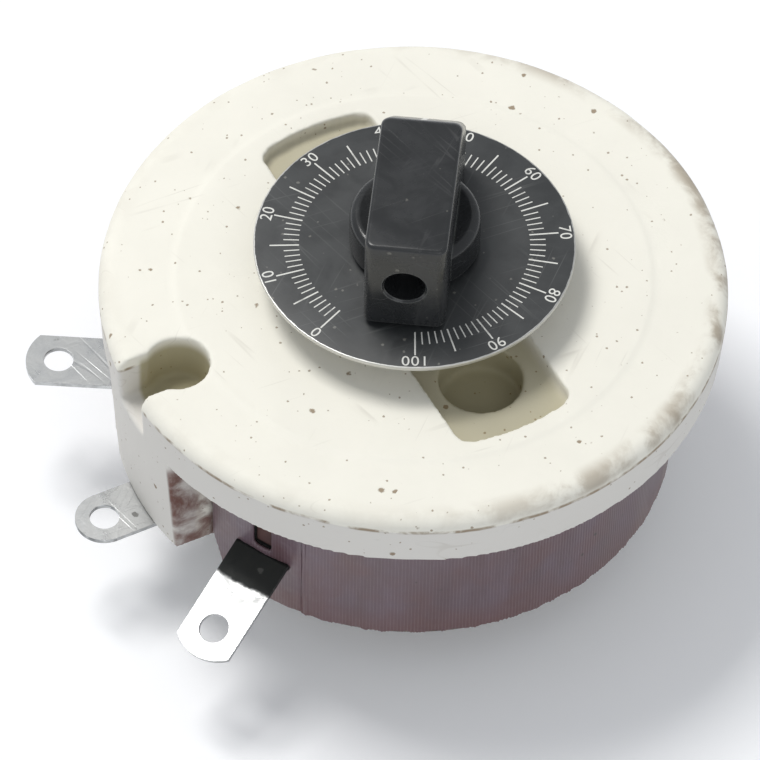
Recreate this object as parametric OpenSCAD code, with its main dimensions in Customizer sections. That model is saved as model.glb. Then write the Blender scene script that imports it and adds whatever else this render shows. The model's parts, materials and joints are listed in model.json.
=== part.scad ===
// Wirewound ring rheostat with knob and dial plate.
// Origin: shaft axis at the raised middle of the ceramic face. +Z points out of the face, towards the knob.

/* [Ceramic base] */
// Outside diameter of the round base
base_d = 101.6; // [98:0.2:106]
// Thickness of the base disc
base_t = 10.4; // [10:0.1:13]
// Radius of the rounding between face and side
rim_round = 2.5; // [1.5:0.1:3.2]
// Draft of the side wall in degrees
side_draft = 3.3; // [1:0.1:4]
// Diameter of the raised middle of the face
pad_d = 77; // [73:0.5:82]
// Height of the raised middle over the rest of the face
pad_h = 0.25; // [0.1:0.05:0.5]
// Width of the channel across the face
channel_w = 20; // [17:0.5:22]
// Depth of the channel
channel_depth = 2.5; // [1.5:0.1:3]
// Distance from the axis to the channel's round ends
channel_reach = 35.5; // [32:0.5:36]
// Corner radius at the channel's ends
channel_corner = 1.5; // [0.5:0.1:3]
// Direction of the channel in degrees
channel_turn = -60; // [-70:1:-50]
// Diameter of the two blind pockets in the channel
pocket_d = 13.5; // [11:0.1:15]
// Distance of the pockets from the axis
pocket_reach = 22.4; // [21:0.1:24.5]
// Depth of the pockets under the channel floor
pocket_depth = 5.5; // [3:0.1:6]
// Diameter of the hub behind the disc
hub_d = 34; // [32:0.5:38]

/* [Terminal block] */
// Direction of the block in degrees
block_turn = -152; // [-156:1:-148]
// Width of the block between the ends of the ring
block_w = 22; // [21:0.2:26]
// Height of the block and the hub behind the disc
block_h = 22.3; // [19:0.1:24]
// Diameter of the keyhole pocket over the block
keyhole_d = 10.4; // [8:0.1:11.5]
// Distance from the rim to the middle of the keyhole pocket
keyhole_inset = 8.8; // [7.5:0.1:10]
// Width of the slot from the keyhole pocket to the rim
keyhole_slot_w = 8; // [5:0.1:8.4]
// Depth of the keyhole pocket and its slot
keyhole_depth = 9.5; // [6:0.1:12]

/* [Winding ring] */
// Outside diameter of the enamelled ring
ring_d = 87; // [84:0.2:90]
// Radial thickness of the ceramic core
core_w = 7.8; // [7:0.1:8.4]
// Height of the ceramic core
core_h = 26.6; // [24:0.1:29]
// Rounding of the core's edges
core_round = 1.5; // [0.8:0.1:2.5]
// Depth of the layer of wire turns
wire_t = 0.55; // [0.3:0.05:0.8]
// Thickness of the enamel over the wire
enamel_t = 0.65; // [0.4:0.05:0.9]
// Height of the seat between disc and ring
ring_seat_h = 1.6; // [1:0.1:2.5]
// Gap between the block and each end of the ring
end_gap = 0.8; // [0.5:0.1:1.5]
// Height of the sloping part of the ring's ends
end_slope_h = 11.5; // [8:0.5:13]
// Slope of the ring's ends in degrees
end_slope = 18; // [5:1:24]
// Width of the seat between disc and ring
seat_w = 5; // [4:0.1:6]
// Width of the bare contact track, from the outer edge inwards
track_w = 7; // [6.8:0.1:7.2]
// Height of bare wire on the ring's outer wall
bare_h = 1.5; // [0.8:0.1:2.5]

/* [Terminals] */
// Angle between the block and each end terminal
terminal_spread = 30; // [30:1:34]
// Width of the end lugs and their bands
lug_w = 10; // [9:0.1:10.6]
// Thickness of the lugs
lug_t = 0.8; // [0.6:0.05:1.2]
// Diameter of the lug holes
lug_hole_d = 4.9; // [4:0.1:5.2]
// Distance from the ring to a lug's hole
lug_reach = 14.4; // [13:0.1:18]
// Distance from an end lug's hole to its tip
lug_tip = 5.4; // [4.8:0.1:6.5]
// Radius of an end lug's tip
lug_tip_r = 7.4; // [6.5:0.1:9]
// Distance from the disc down to the end lugs
lug_drop = 16.7; // [14:0.1:18]
// Downward bend of the front lug in degrees
lug_bend = 20; // [0:1:30]
// Thickness of the band round the core
band_t = 0.5; // [0.3:0.05:0.6]
// Width of the window in the band
window_w = 3.3; // [2:0.1:5]
// Height of the window in the band
window_h = 9; // [4:0.5:10]
// Width of the centre terminal's strip
strip_w = 9.6; // [8:0.1:11]
// Distance from the axis to the centre lug's hole
strip_reach = 55.5; // [54.5:0.5:60]
// Outside diameter of the slip ring
slip_d = 33; // [32:0.1:34]
// Width of the slip ring
slip_w = 6; // [5.2:0.1:7]
// Distance from the axis to the centre terminal's rivet
rivet_reach = 38; // [34:0.5:42]
// Diameter of the rivet's head
rivet_head_d = 6.4; // [5:0.1:7]
// Thickness of the rivet's head
rivet_head_t = 1.1; // [0.8:0.1:1.5]
// Depth of the rivet's hole in the block
rivet_depth = 6; // [4:0.5:9]
// Straight stub of an end lug before its bend
lug_stub = 1.2; // [1.1:0.1:1.5]
// Height of the band's window over the lug
window_rise = 1.5; // [1:0.1:3]

/* [Bushing and dial] */
// Thread diameter of the panel bushing
bushing_d = 9.525; // [9:0.025:10]
// Reach of the bushing in front of the face
bushing_reach = 10.2; // [10:0.1:10.6]
// Diameter of the bushing's rear head
bushing_head_d = 16; // [14:0.2:17.5]
// Thickness of the bushing's rear head
bushing_head_t = 2; // [1.5:0.1:3]
// Depth of the head's seat in the hub
head_seat = 4; // [3:0.1:6]
// Thickness of the lock washer
washer_t = 1; // [0.6:0.1:1.5]
// Width across flats of the hexagon nuts
nut_af = 14.3; // [13:0.1:14.6]
// Thickness of the mounting nut
nut_t = 3.2; // [2.4:0.1:4]
// Thickness of the nut over the dial plate
dial_nut_t = 2.2; // [1.6:0.1:2.4]
// Outside diameter of the spacer under the dial plate
spacer_d = 14; // [12:0.1:16]
// Diameter of the dial plate
dial_d = 51.6; // [48:0.1:56]
// Thickness of the dial plate
dial_t = 0.8; // [0.5:0.05:1]
// Height of the dial plate's front over the face
dial_z = 7.54; // [7:0.02:7.7]

/* [Knob] */
// Reading of the pointer, as a turn from +Y in degrees
knob_turn = -4.4; // [-10:0.2:10]
// Width of the knob's bar
knob_w = 13; // [11:0.1:15]
// Length of the knob's bar
knob_l = 35.8; // [32:0.2:40]
// Height of the knob
knob_h = 18.2; // [17.5:0.1:20]
// Gap between dial plate and knob
knob_gap = 0.96; // [0.5:0.02:1.2]
// Length of the sloping nose
nose_l = 8.5; // [5:0.1:10]
// Height lost along the nose
nose_drop = 9.2; // [5:0.1:11]
// Diameter of the round boss
boss_d = 21; // [20.6:0.1:24]
// Height of the round boss
boss_h = 6.5; // [6:0.1:8]
// Corner radius at the bar's square end
knob_corner = 1.6; // [0.5:0.1:2.5]
// Diameter of the screw hole in the bar's end
screw_hole_d = 6.6; // [5:0.1:7.5]
// Height of the screw hole over the knob's underside
screw_h = 9; // [8:0.1:10.5]
// Diameter of the set screw
set_screw_d = 4.8; // [4:0.1:5.2]
// Length of the set screw
set_screw_l = 7; // [5:0.1:9]
// Diameter of the brass insert
insert_d = 10.4; // [9:0.1:11]
// Thickness of the knob over the shaft's end
crown_t = 2.8; // [2:0.1:4]

/* [Shaft and arm] */
// Diameter of the shaft
shaft_d = 6.35; // [6:0.05:6.5]
// Distance from the contact track to the arm
arm_stand = 3.6; // [3.4:0.1:5]
// Thickness of the contact arm
arm_t = 1.2; // [1:0.1:1.6]
// Width of the contact arm
arm_w = 12; // [11:0.1:13]
// Diameter of the insulating arm hub
arm_hub_d = 16; // [14:0.2:17]
// Length of the insulating arm hub
arm_hub_l = 6.3; // [5:0.1:7]
// Width across the hub's square neck
neck_w = 8.4; // [8:0.1:9]
// Diameter of the rear insulator
insulator_d = 21.6; // [20:0.2:22]
// Length of the rear insulator
insulator_l = 5.2; // [4.6:0.1:6]
// Thickness of the stop plate
stop_t = 1.2; // [1:0.1:1.6]
// Width of the stop plate's tab
tab_w = 6; // [5:0.1:7]
// Depth of the tab's grip on the base's web
tab_grip = 2.5; // [1.5:0.1:4]
// Wire diameter of the shaft spring
spring_wire = 1; // [0.8:0.1:1.1]
// Number of turns of the shaft spring
spring_turns = 2.5; // [2:0.5:3]
// Diameter of the pin that drives the arm hub
pin_d = 2; // [1.5:0.1:2.4]
// Length of the arm beyond its brush
arm_nose = 4; // [3:0.1:5]
// Length of the arm's tail beyond the collector brush
arm_heel = 2.4; // [1.5:0.1:3]
// Width of the arm's tail
tail_w = 10; // [8:0.1:11]
// Thickness of the retaining clips
clip_t = 0.8; // [0.6:0.05:1]
// Depth of the clips' grooves in the shaft
groove = 0.6; // [0.4:0.05:0.8]
// Thickness of the thrust washer
thrust_t = 0.5; // [0.3:0.05:0.7]
// Thickness of the rear washer
rear_washer_t = 0.7; // [0.5:0.05:1]
// Depth of the recess in the rear insulator
insulator_recess = 3.6; // [3.2:0.1:3.9]
// Thickness of the stop plate's tab
tab_t = 1.5; // [1.2:0.1:2]

/* [Brushes] */
// Radial length of the arm brush
brush_l = 5.2; // [4.6:0.1:5.4]
// Width of the arm brush
brush_w = 6.4; // [5.6:0.1:7]
// Height of the arm brush
brush_h = 6.6; // [6.4:0.1:7.4]
// Radial length of the collector brush
collector_l = 4.4; // [4:0.1:4.8]
// Width of the collector brush
collector_w = 5; // [4:0.1:6]
// Wall of the brush holders
holder_wall = 0.7; // [0.5:0.05:0.8]
// Height of the arm brush's holder
holder_h = 2.4; // [1.5:0.1:2.6]
// Height of the collector brush's holder
collector_holder_h = 6; // [4:0.1:7.5]
// Thickness of the brush spring
leaf_t = 0.4; // [0.3:0.05:0.5]
// Width of the brush spring
leaf_w = 5; // [4:0.1:5.6]
// Diameter of the braided shunt
shunt_d = 1.3; // [1:0.1:1.5]

/* [Clearances] */
// Fit between pieces that are cemented or clamped together
seat_fit = 0.05; // [0.02:0.01:0.1]
// Radial running clearance of the shaft
run_fit = 0.035; // [0.02:0.005:0.09]
// Gap between sliding contact faces
slide_gap = 0.04; // [0.02:0.01:0.08]
// Side clearance of guided or threaded-over pieces
side_fit = 0.15; // [0.1:0.01:0.25]
// Gap between the arm brush and the enamel beside its track
lip_gap = 0.35; // [0.3:0.05:0.45]
// Room between the front clip and the knob's insert
clip_play = 0.75; // [0.5:0.05:1]
// Clearance left at the stops
stop_gap = 0.3; // [0.2:0.05:0.5]

/* [Hidden] */
$fn = 96;
over = 1;
base_r = base_d / 2;
side_top = -pad_h - rim_round;
base_low = -base_t;
block_low = -base_t - block_h;
block_r = base_r - (side_top - block_low) * tan(side_draft);
disc_low_r = base_r - (side_top - base_low) * tan(side_draft);
hub_r = hub_d / 2;
keyhole_reach = base_r - keyhole_inset;
shaft_r = shaft_d / 2;
bushing_r = bushing_d / 2;

// winding ring
ring_r = ring_d / 2;
core_r = ring_r - enamel_t - wire_t;
core_in = core_r - core_w;
ring_in = core_in - wire_t - enamel_t;
ring_top = base_low - ring_seat_h;
core_top = ring_top - enamel_t - wire_t;
core_low = core_top - core_h;
track_z = core_low - wire_t;
ring_low = track_z - enamel_t;
track_in = core_r + wire_t - track_w;
gap_half = block_w / 2 + end_gap;
// degrees between band and first turn, and of enamel over the end of the winding
band_margin = 0.7;
band_lap = 0.1;
band_angle = terminal_spread + asin((lug_w / 2) / core_in) + band_margin;

// terminals
lug_z = base_low - lug_drop;
lug_slot = 0.5;
lug_root = core_r + band_t - lug_t / 2;
bend_x = lug_root + lug_stub;
strip_z = block_low - lug_t;
slip_r = slip_d / 2;
slip_in = slip_r - slip_w;
rivet_shank_r = rivet_head_d / 4;

// stack in front of the base
seat_z = -channel_depth;
nut_z = seat_z + washer_t;
spacer_z = nut_z + nut_t;
dial_low = dial_z - dial_t;
nut_bore = bushing_r + side_fit;

// knob
knob_z = dial_z + knob_gap;
knob_top = knob_z + knob_h;
screw_z = knob_z + screw_h;
insert_r = insert_d / 2;
recess_r = nut_af / sqrt(3) + 4 * side_fit;
front_clip_z = bushing_reach + slide_gap;
recess_top = front_clip_z + clip_t + clip_play;
shaft_top = knob_top - crown_t;
screw_in = shaft_r + seat_fit;
screw_out = screw_in + set_screw_l;

// rear of the bushing, spring, arm and insulators
head_z = block_low + head_seat;
head_low = head_z - bushing_head_t;
arm_z = track_z - arm_stand;
arm_hub_top = arm_z + arm_hub_l;
stop_top = arm_hub_top + stop_t;
leaf_z = arm_z - arm_t;
insulator_z = leaf_z - leaf_t;
insulator_low = insulator_z - insulator_l;
clip_seat = insulator_low + insulator_recess;
rear_clip_z = clip_seat - rear_washer_t - clip_t;
shaft_inset = 0.8;
shaft_low = insulator_low + shaft_inset;
clip_rim = 1.3;
clip_mouth = 3.2;
clip_room = shaft_r + 3 * clip_rim;
arm_turn = 42.1;
brush_mid = track_in + lip_gap + brush_l / 2;
collector_mid = slip_in + slip_w / 2;
arm_tip = brush_mid + brush_l / 2 + arm_nose;
arm_tail = collector_mid + collector_l / 2 + arm_heel;
brush_low = track_z - slide_gap - brush_h;

// shunt between arm and arm brush
shunt_x = insulator_d / 2 + 6;
shunt_y = (arm_w + leaf_w) / 4 + 0.2;
shunt_pin_r = 0.8;
shunt_head_r = 1.4;
shunt_head_t = 0.8;

// stop tab: its inner corner meets the web when the arm stands over an end terminal
tab_in = (hub_r + ring_in) / 2 - tab_t / 2;
web_half = tab_in * sin(terminal_spread) - tab_w / 2 * cos(terminal_spread) - stop_gap;

CERAMIC = [0.93, 0.91, 0.84];
CORE = [0.80, 0.76, 0.70];
ENAMEL = [0.40, 0.27, 0.30];
WIRE = [0.45, 0.42, 0.40];
TINNED = [0.72, 0.73, 0.72];
BRASS = [0.78, 0.64, 0.36];
STEEL = [0.60, 0.61, 0.63];
BRONZE = [0.72, 0.52, 0.34];
CARBON = [0.16, 0.15, 0.15];
BLACK = [0.05, 0.05, 0.055];
DIAL = [0.16, 0.17, 0.18];
PORCELAIN = [0.90, 0.88, 0.82];
COPPER = [0.74, 0.44, 0.28];

// ---- shared shapes ----

// Round bar between two heights
module disc(r, low, high) {
    translate([0, 0, low]) cylinder(r = r, h = high - low);
}

// Round tube between two heights
module tube(outer, inner, low, high) {
    difference() {
        disc(outer, low, high);
        disc(inner, low - over, high + over);
    }
}

// Hexagon nut with a round bore
module hex_nut(af, bore, low, high) {
    difference() {
        translate([0, 0, low]) cylinder(d = af * 2 / sqrt(3), h = high - low, $fn = 6);
        disc(bore, low - over, high + over);
    }
}

// Block centred on Y, from x1 to x2 and low to high
module beam(x1, x2, w, low, high) {
    translate([x1, -w / 2, low]) cube([x2 - x1, w, high - low]);
}

// Rectangle with rounded corners, as a section right of the axis
module round_section(r1, r2, low, high, c) {
    translate([r1 + c, low]) square([r2 - r1 - 2 * c, high - low]);
    translate([r1, low + c]) square([r2 - r1, high - low - 2 * c]);
    for (r = [r1 + c, r2 - c], z = [low + c, high - c]) translate([r, z]) circle(r = c, $fn = 32);
}

// Full ring round the core, grown outwards by a layer
module core_ring(grow) {
    rotate_extrude() round_section(core_in - grow, core_r + grow, core_low - grow, core_top + grow,
        core_round + grow);
}

// Space between the ends of the ring, widened by an extra gap
module ring_gap(extra) {
    g = gap_half + extra;
    slope_z = ring_low + end_slope_h;
    flare = g + (end_slope_h + over) * tan(end_slope);
    rotate([0, 0, block_turn]) rotate([90, 0, 90]) linear_extrude(height = base_r)
        polygon([[-g, 0], [g, 0], [g, slope_z], [flare, ring_low - over], [-flare, ring_low - over],
            [-g, slope_z]]);
}

// Wedge round the block, up to an angle on either side
module block_wedge(angle) {
    far = base_d;
    rotate([0, 0, block_turn]) translate([0, 0, ring_low - over])
        linear_extrude(height = base_r)
            polygon([[0, 0], [far * cos(angle), -far * sin(angle)], [far * cos(angle), far * sin(angle)]]);
}

// Closed tube swept through a list of points, with a fixed side direction
function unit(v) = v / norm(v);
function way(p, i) = unit(p[min(i + 1, len(p) - 1)] - p[max(i - 1, 0)]);
module sweep(p, r, side, n) {
    points = [for (i = [0 : len(p) - 1]) let (t = way(p, i), u = unit(cross(t, side)), v = cross(t, u))
        for (k = [0 : n - 1]) p[i] + r * (cos(360 * k / n) * u + sin(360 * k / n) * v)];
    rings = len(p);
    walls = [for (i = [0 : rings - 2], k = [0 : n - 1])
        [i * n + k, i * n + (k + 1) % n, (i + 1) * n + (k + 1) % n, (i + 1) * n + k]];
    ends = [[for (k = [0 : n - 1]) n - 1 - k], [for (k = [0 : n - 1]) (rings - 1) * n + k]];
    polyhedron(points = points, faces = concat(walls, ends), convexity = 8);
}

// ---- ceramic base ----

// Section of the disc with its raised middle, rounded rim and drafted side
module disc_section() {
    flat_r = base_r - rim_round;
    polygon([[0, 0], [pad_d / 2, 0], [pad_d / 2, -pad_h], [flat_r, -pad_h], [flat_r, side_top],
        [base_r, side_top], [disc_low_r, base_low], [0, base_low]]);
    intersection() {
        translate([flat_r, side_top]) circle(r = rim_round);
        translate([flat_r, side_top]) square(rim_round + over);
    }
}

// Channel across the face with round ends
module face_channel() {
    straight = sqrt(pow(channel_reach - channel_corner, 2) - pow(channel_w / 2, 2));
    rotate([0, 0, channel_turn]) translate([0, 0, seat_z]) linear_extrude(height = channel_depth + over)
        intersection() {
            circle(r = channel_reach);
            union() {
                square([2 * straight, channel_w], center = true);
                square([2 * channel_reach, channel_w - 2 * channel_corner], center = true);
                for (x = [-straight, straight], y = [-1, 1])
                    translate([x, y * (channel_w / 2 - channel_corner)]) circle(r = channel_corner);
            }
        }
}

module ceramic_base() color(CERAMIC) {
    difference() {
        union() {
            rotate_extrude() disc_section();
            disc(hub_r, block_low, base_low);
            tube(core_in + seat_w, core_in, ring_top, base_low);
            // terminal block, thick between the ring's ends, with a thinner web inwards
            intersection() {
                translate([0, 0, block_low])
                    cylinder(r1 = block_r, r2 = disc_low_r, h = block_h);
                rotate([0, 0, block_turn]) union() {
                    beam(0, base_r, 2 * web_half, block_low, base_low);
                    beam(ring_in, base_r, block_w, block_low, base_low);
                }
            }
        }
        face_channel();
        for (side = [0, 180]) rotate([0, 0, channel_turn + side]) translate([pocket_reach, 0, 0])
            disc(pocket_d / 2, seat_z - pocket_depth, over);
        rotate([0, 0, block_turn]) {
            translate([keyhole_reach, 0, 0]) disc(keyhole_d / 2, -keyhole_depth, over);
            beam(keyhole_reach, base_r + over, keyhole_slot_w, -keyhole_depth, over);
            translate([rivet_reach, 0, 0])
                disc(rivet_shank_r + seat_fit, block_low - over, block_low + rivet_depth);
        }
        disc(bushing_r + side_fit, block_low - over, over);
        disc(bushing_head_d / 2 + side_fit, block_low - over, head_z);
    }
}

// ---- winding ring ----

module winding_core() color(CORE) difference() {
    core_ring(0);
    ring_gap(enamel_t);
}

module resistance_winding() color(WIRE) difference() {
    core_ring(wire_t);
    core_ring(seat_fit);
    block_wedge(band_angle);
}

module enamel_coat() color(ENAMEL) difference() {
    core_ring(wire_t + enamel_t);
    ring_gap(0);
    difference() {
        core_ring(seat_fit);
        ring_gap(enamel_t - seat_fit);
    }
    difference() {
        core_ring(wire_t + seat_fit);
        block_wedge(band_angle - band_lap);
    }
    for (side = [-1, 1]) rotate([0, 0, block_turn + side * terminal_spread]) {
        band_envelope(band_t + seat_fit, lug_w + 2 * seat_fit);
        beam(lug_root - over, base_r, lug_w + 2 * seat_fit, lug_z - lug_t - lug_slot, lug_z + seat_fit);
        band_window();
    }
    // bare track over the outer bottom edge
    tube(base_r, track_in, ring_low - over, core_low + bare_h);
}

// Stretch of the ring that a terminal band covers
module band_envelope(grow, w) {
    intersection() {
        core_ring(grow);
        beam(core_in - 2 * over, core_r + 2 * over, w, ring_low - over, ring_top + over);
    }
}

module band_window() {
    beam(core_r - over, base_r, window_w, lug_z + window_rise, lug_z + window_rise + window_h);
}

// Side view of a lug strip from the band outwards, bent down by an angle
module lug_profile(bend) {
    far = lug_reach + lug_tip;
    inner = lug_t * tan(bend / 2);
    polygon([[lug_root - lug_t, lug_z], [bend_x, lug_z], [bend_x + far * cos(bend), lug_z - far * sin(bend)],
        [bend_x + far * cos(bend) - lug_t * sin(bend), lug_z - far * sin(bend) - lug_t * cos(bend)],
        [bend_x - inner, lug_z - lug_t], [lug_root - lug_t, lug_z - lug_t]]);
}

// What is cut from the strip: the hole and the corners outside the blunt round tip
module lug_cut() {
    translate([lug_reach, 0, -lug_t - over]) linear_extrude(height = lug_t + 2 * over) {
        circle(d = lug_hole_d);
        difference() {
            translate([0, -lug_w]) square([lug_w, 2 * lug_w]);
            translate([lug_tip - lug_tip_r, 0]) circle(r = lug_tip_r);
        }
    }
}

// Band with its lug; the lug bends down by an angle at its root
module end_terminal(bend) {
    difference() {
        union() {
            band_envelope(band_t, lug_w);
            translate([0, lug_w / 2, 0]) rotate([90, 0, 0]) linear_extrude(height = lug_w) lug_profile(bend);
        }
        core_ring(seat_fit);
        band_window();
        translate([bend_x, 0, lug_z]) rotate([0, bend, 0]) lug_cut();
    }
}

module end_terminal_left() color(TINNED)
    rotate([0, 0, block_turn - terminal_spread]) end_terminal(0);

module end_terminal_right() color(TINNED)
    rotate([0, 0, block_turn + terminal_spread]) end_terminal(lug_bend);

module centre_terminal() color(TINNED) difference() {
    union() {
        disc(slip_r, strip_z, block_low);
        rotate([0, 0, block_turn]) {
            beam(0, strip_reach, strip_w, strip_z, block_low);
            translate([strip_reach, 0, 0]) disc(strip_w / 2, strip_z, block_low);
        }
    }
    disc(slip_in, strip_z - over, block_low + over);
    rotate([0, 0, block_turn]) {
        translate([strip_reach, 0, 0]) disc(lug_hole_d / 2, strip_z - over, block_low + over);
        translate([rivet_reach, 0, 0]) disc(rivet_shank_r + seat_fit, strip_z - over, block_low + over);
    }
}

module terminal_rivet() color(STEEL) rotate([0, 0, block_turn]) translate([rivet_reach, 0, 0]) {
    disc(rivet_head_d / 2, strip_z - rivet_head_t, strip_z);
    disc(rivet_shank_r, strip_z - rivet_head_t / 2, block_low + rivet_depth - side_fit);
}

// ---- bushing and dial stack ----

module bushing() color(BRASS) difference() {
    union() {
        disc(bushing_r, head_low, bushing_reach);
        disc(bushing_head_d / 2, head_low, head_z);
    }
    disc(shaft_r + run_fit, head_low - over, bushing_reach + over);
}

module lock_washer() color(STEEL) {
    teeth = 10;
    tooth_l = 1.2;
    tooth_w = 1.6;
    rim_r = nut_af / 2 - tooth_l / 2;
    tube(rim_r, nut_bore, seat_z, nut_z);
    for (i = [0 : teeth - 1]) rotate([0, 0, i * 360 / teeth])
        beam(rim_r - tooth_l / 4, rim_r + tooth_l, tooth_w, seat_z, nut_z);
}

module mounting_nut() color(BRASS) hex_nut(nut_af, nut_bore, nut_z, spacer_z);

module dial_spacer() color(BRASS) tube(spacer_d / 2, nut_bore, spacer_z, dial_low);

module dial_plate() color(DIAL) tube(dial_d / 2, nut_bore, dial_low, dial_z);

module dial_nut() color(BRASS) hex_nut(nut_af, nut_bore, dial_z, dial_z + dial_nut_t);

// ---- knob ----

// Side view of the bar: square end at -Y, sloping nose at +Y
module bar_profile() {
    polygon([[-knob_l / 2, knob_z], [knob_l / 2, knob_z], [knob_l / 2, knob_top - nose_drop],
        [knob_l / 2 - nose_l, knob_top], [-knob_l / 2, knob_top]]);
}

// Plan of the bar with rounded corners
module bar_plan() {
    c = knob_corner;
    square([knob_w - 2 * c, knob_l], center = true);
    square([knob_w, knob_l - 2 * c], center = true);
    for (x = [-1, 1], y = [-1, 1])
        translate([x * (knob_w / 2 - c), y * (knob_l / 2 - c)]) circle(r = c, $fn = 32);
}

// Half section of the round boss with a rounded, slightly dished top
module boss_section() {
    edge = 1.4;
    r = boss_d / 2;
    dish = 0.7;
    polygon([[0, knob_z], [r, knob_z], [r, knob_z + boss_h - edge], [r - edge, knob_z + boss_h - edge],
        [r - edge, knob_z + boss_h], [knob_w / 2, knob_z + boss_h - dish], [0, knob_z + boss_h - dish]]);
    translate([r - edge, knob_z + boss_h - edge]) intersection() {
        circle(r = edge, $fn = 32);
        square(edge + over);
    }
}

module knob() color(BLACK) rotate([0, 0, knob_turn]) difference() {
    union() {
        intersection() {
            rotate([90, 0, 90]) translate([0, 0, -knob_w / 2]) linear_extrude(height = knob_w) bar_profile();
            translate([0, 0, knob_z]) linear_extrude(height = knob_h) bar_plan();
        }
        rotate_extrude() boss_section();
    }
    disc(recess_r, knob_z - over, recess_top);
    disc(insert_r + seat_fit, recess_top - over, shaft_top + seat_fit);
    translate([0, 0, screw_z]) rotate([90, 0, 0]) cylinder(d = screw_hole_d, h = knob_l);
}

module knob_insert() color(BRASS) rotate([0, 0, knob_turn]) difference() {
    disc(insert_r, recess_top, shaft_top);
    disc(shaft_r + seat_fit, recess_top - over, shaft_top + over);
    translate([0, 0, screw_z]) rotate([90, 0, 0]) cylinder(r = set_screw_d / 2 + seat_fit, h = knob_l);
}

module set_screw() color(STEEL) rotate([0, 0, knob_turn]) translate([0, 0, screw_z]) rotate([90, 0, 0])
    difference() {
        slot_w = 0.8;
        slot_depth = 1.2;
        disc(set_screw_d / 2, screw_in, screw_out);
        beam(-set_screw_d, set_screw_d, slot_w, screw_out - slot_depth, screw_out + over);
    }

// ---- shaft ----

module shaft() color(STEEL) difference() {
    disc(shaft_r, shaft_low, shaft_top);
    tube(shaft_r + over, shaft_r - groove, front_clip_z, front_clip_z + clip_t + seat_fit);
    tube(shaft_r + over, shaft_r - groove, rear_clip_z - seat_fit, rear_clip_z + clip_t);
    rotate([0, 0, arm_turn]) cross_pin(pin_d / 2 + seat_fit, shaft_d + 2 * over);
}

// Bar across the shaft and the arm hub
module cross_pin(r, l) {
    translate([0, 0, arm_z + arm_hub_l / 2]) rotate([90, 0, 0])
        cylinder(r = r, h = l, center = true, $fn = 32);
}

// Open retaining ring in a groove of the shaft
module open_clip(low, turn) {
    rotate([0, 0, turn]) difference() {
        disc(shaft_r + clip_rim, low, low + clip_t);
        disc(shaft_r - groove + seat_fit, low - over, low + clip_t + over);
        beam(0, shaft_d, clip_mouth, low - over, low + clip_t + over);
    }
}

module shaft_clip() color(STEEL) open_clip(front_clip_z, -60);

module thrust_washer() color(BRASS)
    tube(bushing_head_d / 2 - thrust_t, shaft_r + side_fit, head_low - thrust_t, head_low);

module shaft_spring() color(STEEL) {
    r = spring_wire / 2;
    mean_r = shaft_r + 2 * side_fit + r;
    high = head_low - thrust_t - slide_gap - r;
    low = stop_top + seat_fit + r;
    steps = 20 * spring_turns;
    path = [for (i = [0 : steps]) let (t = i / steps, a = 360 * spring_turns * t)
        [mean_r * cos(a), mean_r * sin(a), low + (high - low) * t]];
    sweep(path, r, [0, 0, 1], 8);
}

// ---- arm and stop ----

module stop_plate() color(STEEL) rotate([0, 0, arm_turn]) difference() {
    union() {
        disc(arm_hub_d / 2, arm_hub_top, stop_top);
        beam(0, tab_in + tab_t, tab_w, arm_hub_top, stop_top);
        beam(tab_in, tab_in + tab_t, tab_w, arm_hub_top, block_low + tab_grip);
    }
    disc(shaft_r + seat_fit, arm_hub_top - over, stop_top + over);
}

module arm_hub() color(PORCELAIN) rotate([0, 0, arm_turn]) difference() {
    union() {
        disc(arm_hub_d / 2, arm_z, arm_hub_top);
        beam(-neck_w / 2, neck_w / 2, neck_w, insulator_z + seat_fit, arm_z + over);
    }
    disc(shaft_r + seat_fit, insulator_z - over, arm_hub_top + over);
    cross_pin(pin_d / 2 + seat_fit, arm_hub_d + 2 * over);
}

module drive_pin() color(STEEL) rotate([0, 0, arm_turn]) cross_pin(pin_d / 2, arm_hub_d - pin_d / 2);

// Square opening for the arm hub's neck
module neck_hole(low, high) {
    beam(-neck_w / 2 - side_fit, neck_w / 2 + side_fit, neck_w + 2 * side_fit, low, high);
}

// Rectangular opening for a brush
module brush_hole(mid, l, w, low, high) {
    beam(mid - l / 2 - side_fit, mid + l / 2 + side_fit, w + 2 * side_fit, low, high);
}

module contact_arm() color(BRONZE) rotate([0, 0, arm_turn]) difference() {
    union() {
        beam(0, arm_tip - arm_w / 2, arm_w, leaf_z, arm_z);
        translate([arm_tip - arm_w / 2, 0, 0]) disc(arm_w / 2, leaf_z, arm_z);
        disc(arm_hub_d / 2 + arm_t, leaf_z, arm_z);
        beam(-arm_tail, 0, tail_w, leaf_z, arm_z);
    }
    neck_hole(leaf_z - over, arm_z + over);
    brush_hole(brush_mid, brush_l, brush_w, leaf_z - over, arm_z + over);
    brush_hole(-collector_mid, collector_l, collector_w, leaf_z - over, arm_z + over);
    translate([shunt_x, shunt_y, 0]) disc(shunt_pin_r + seat_fit, leaf_z - over, arm_z + over);
}

// Square tube that guides a brush, standing on the arm
module holder(mid, l, w, high) {
    difference() {
        beam(mid - l / 2 - side_fit - holder_wall, mid + l / 2 + side_fit + holder_wall,
            w + 2 * side_fit + 2 * holder_wall, arm_z, high);
        brush_hole(mid, l, w, arm_z - over, high + over);
    }
}

module arm_brush() color(CARBON) rotate([0, 0, arm_turn])
    beam(brush_mid - brush_l / 2, brush_mid + brush_l / 2, brush_w, brush_low, track_z - slide_gap);

module brush_holder() color(BRASS) rotate([0, 0, arm_turn])
    holder(brush_mid, brush_l, brush_w, arm_z + holder_h);

module collector_brush() color(CARBON) rotate([0, 0, arm_turn])
    beam(-collector_mid - collector_l / 2, -collector_mid + collector_l / 2, collector_w, leaf_z,
        strip_z - slide_gap);

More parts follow.
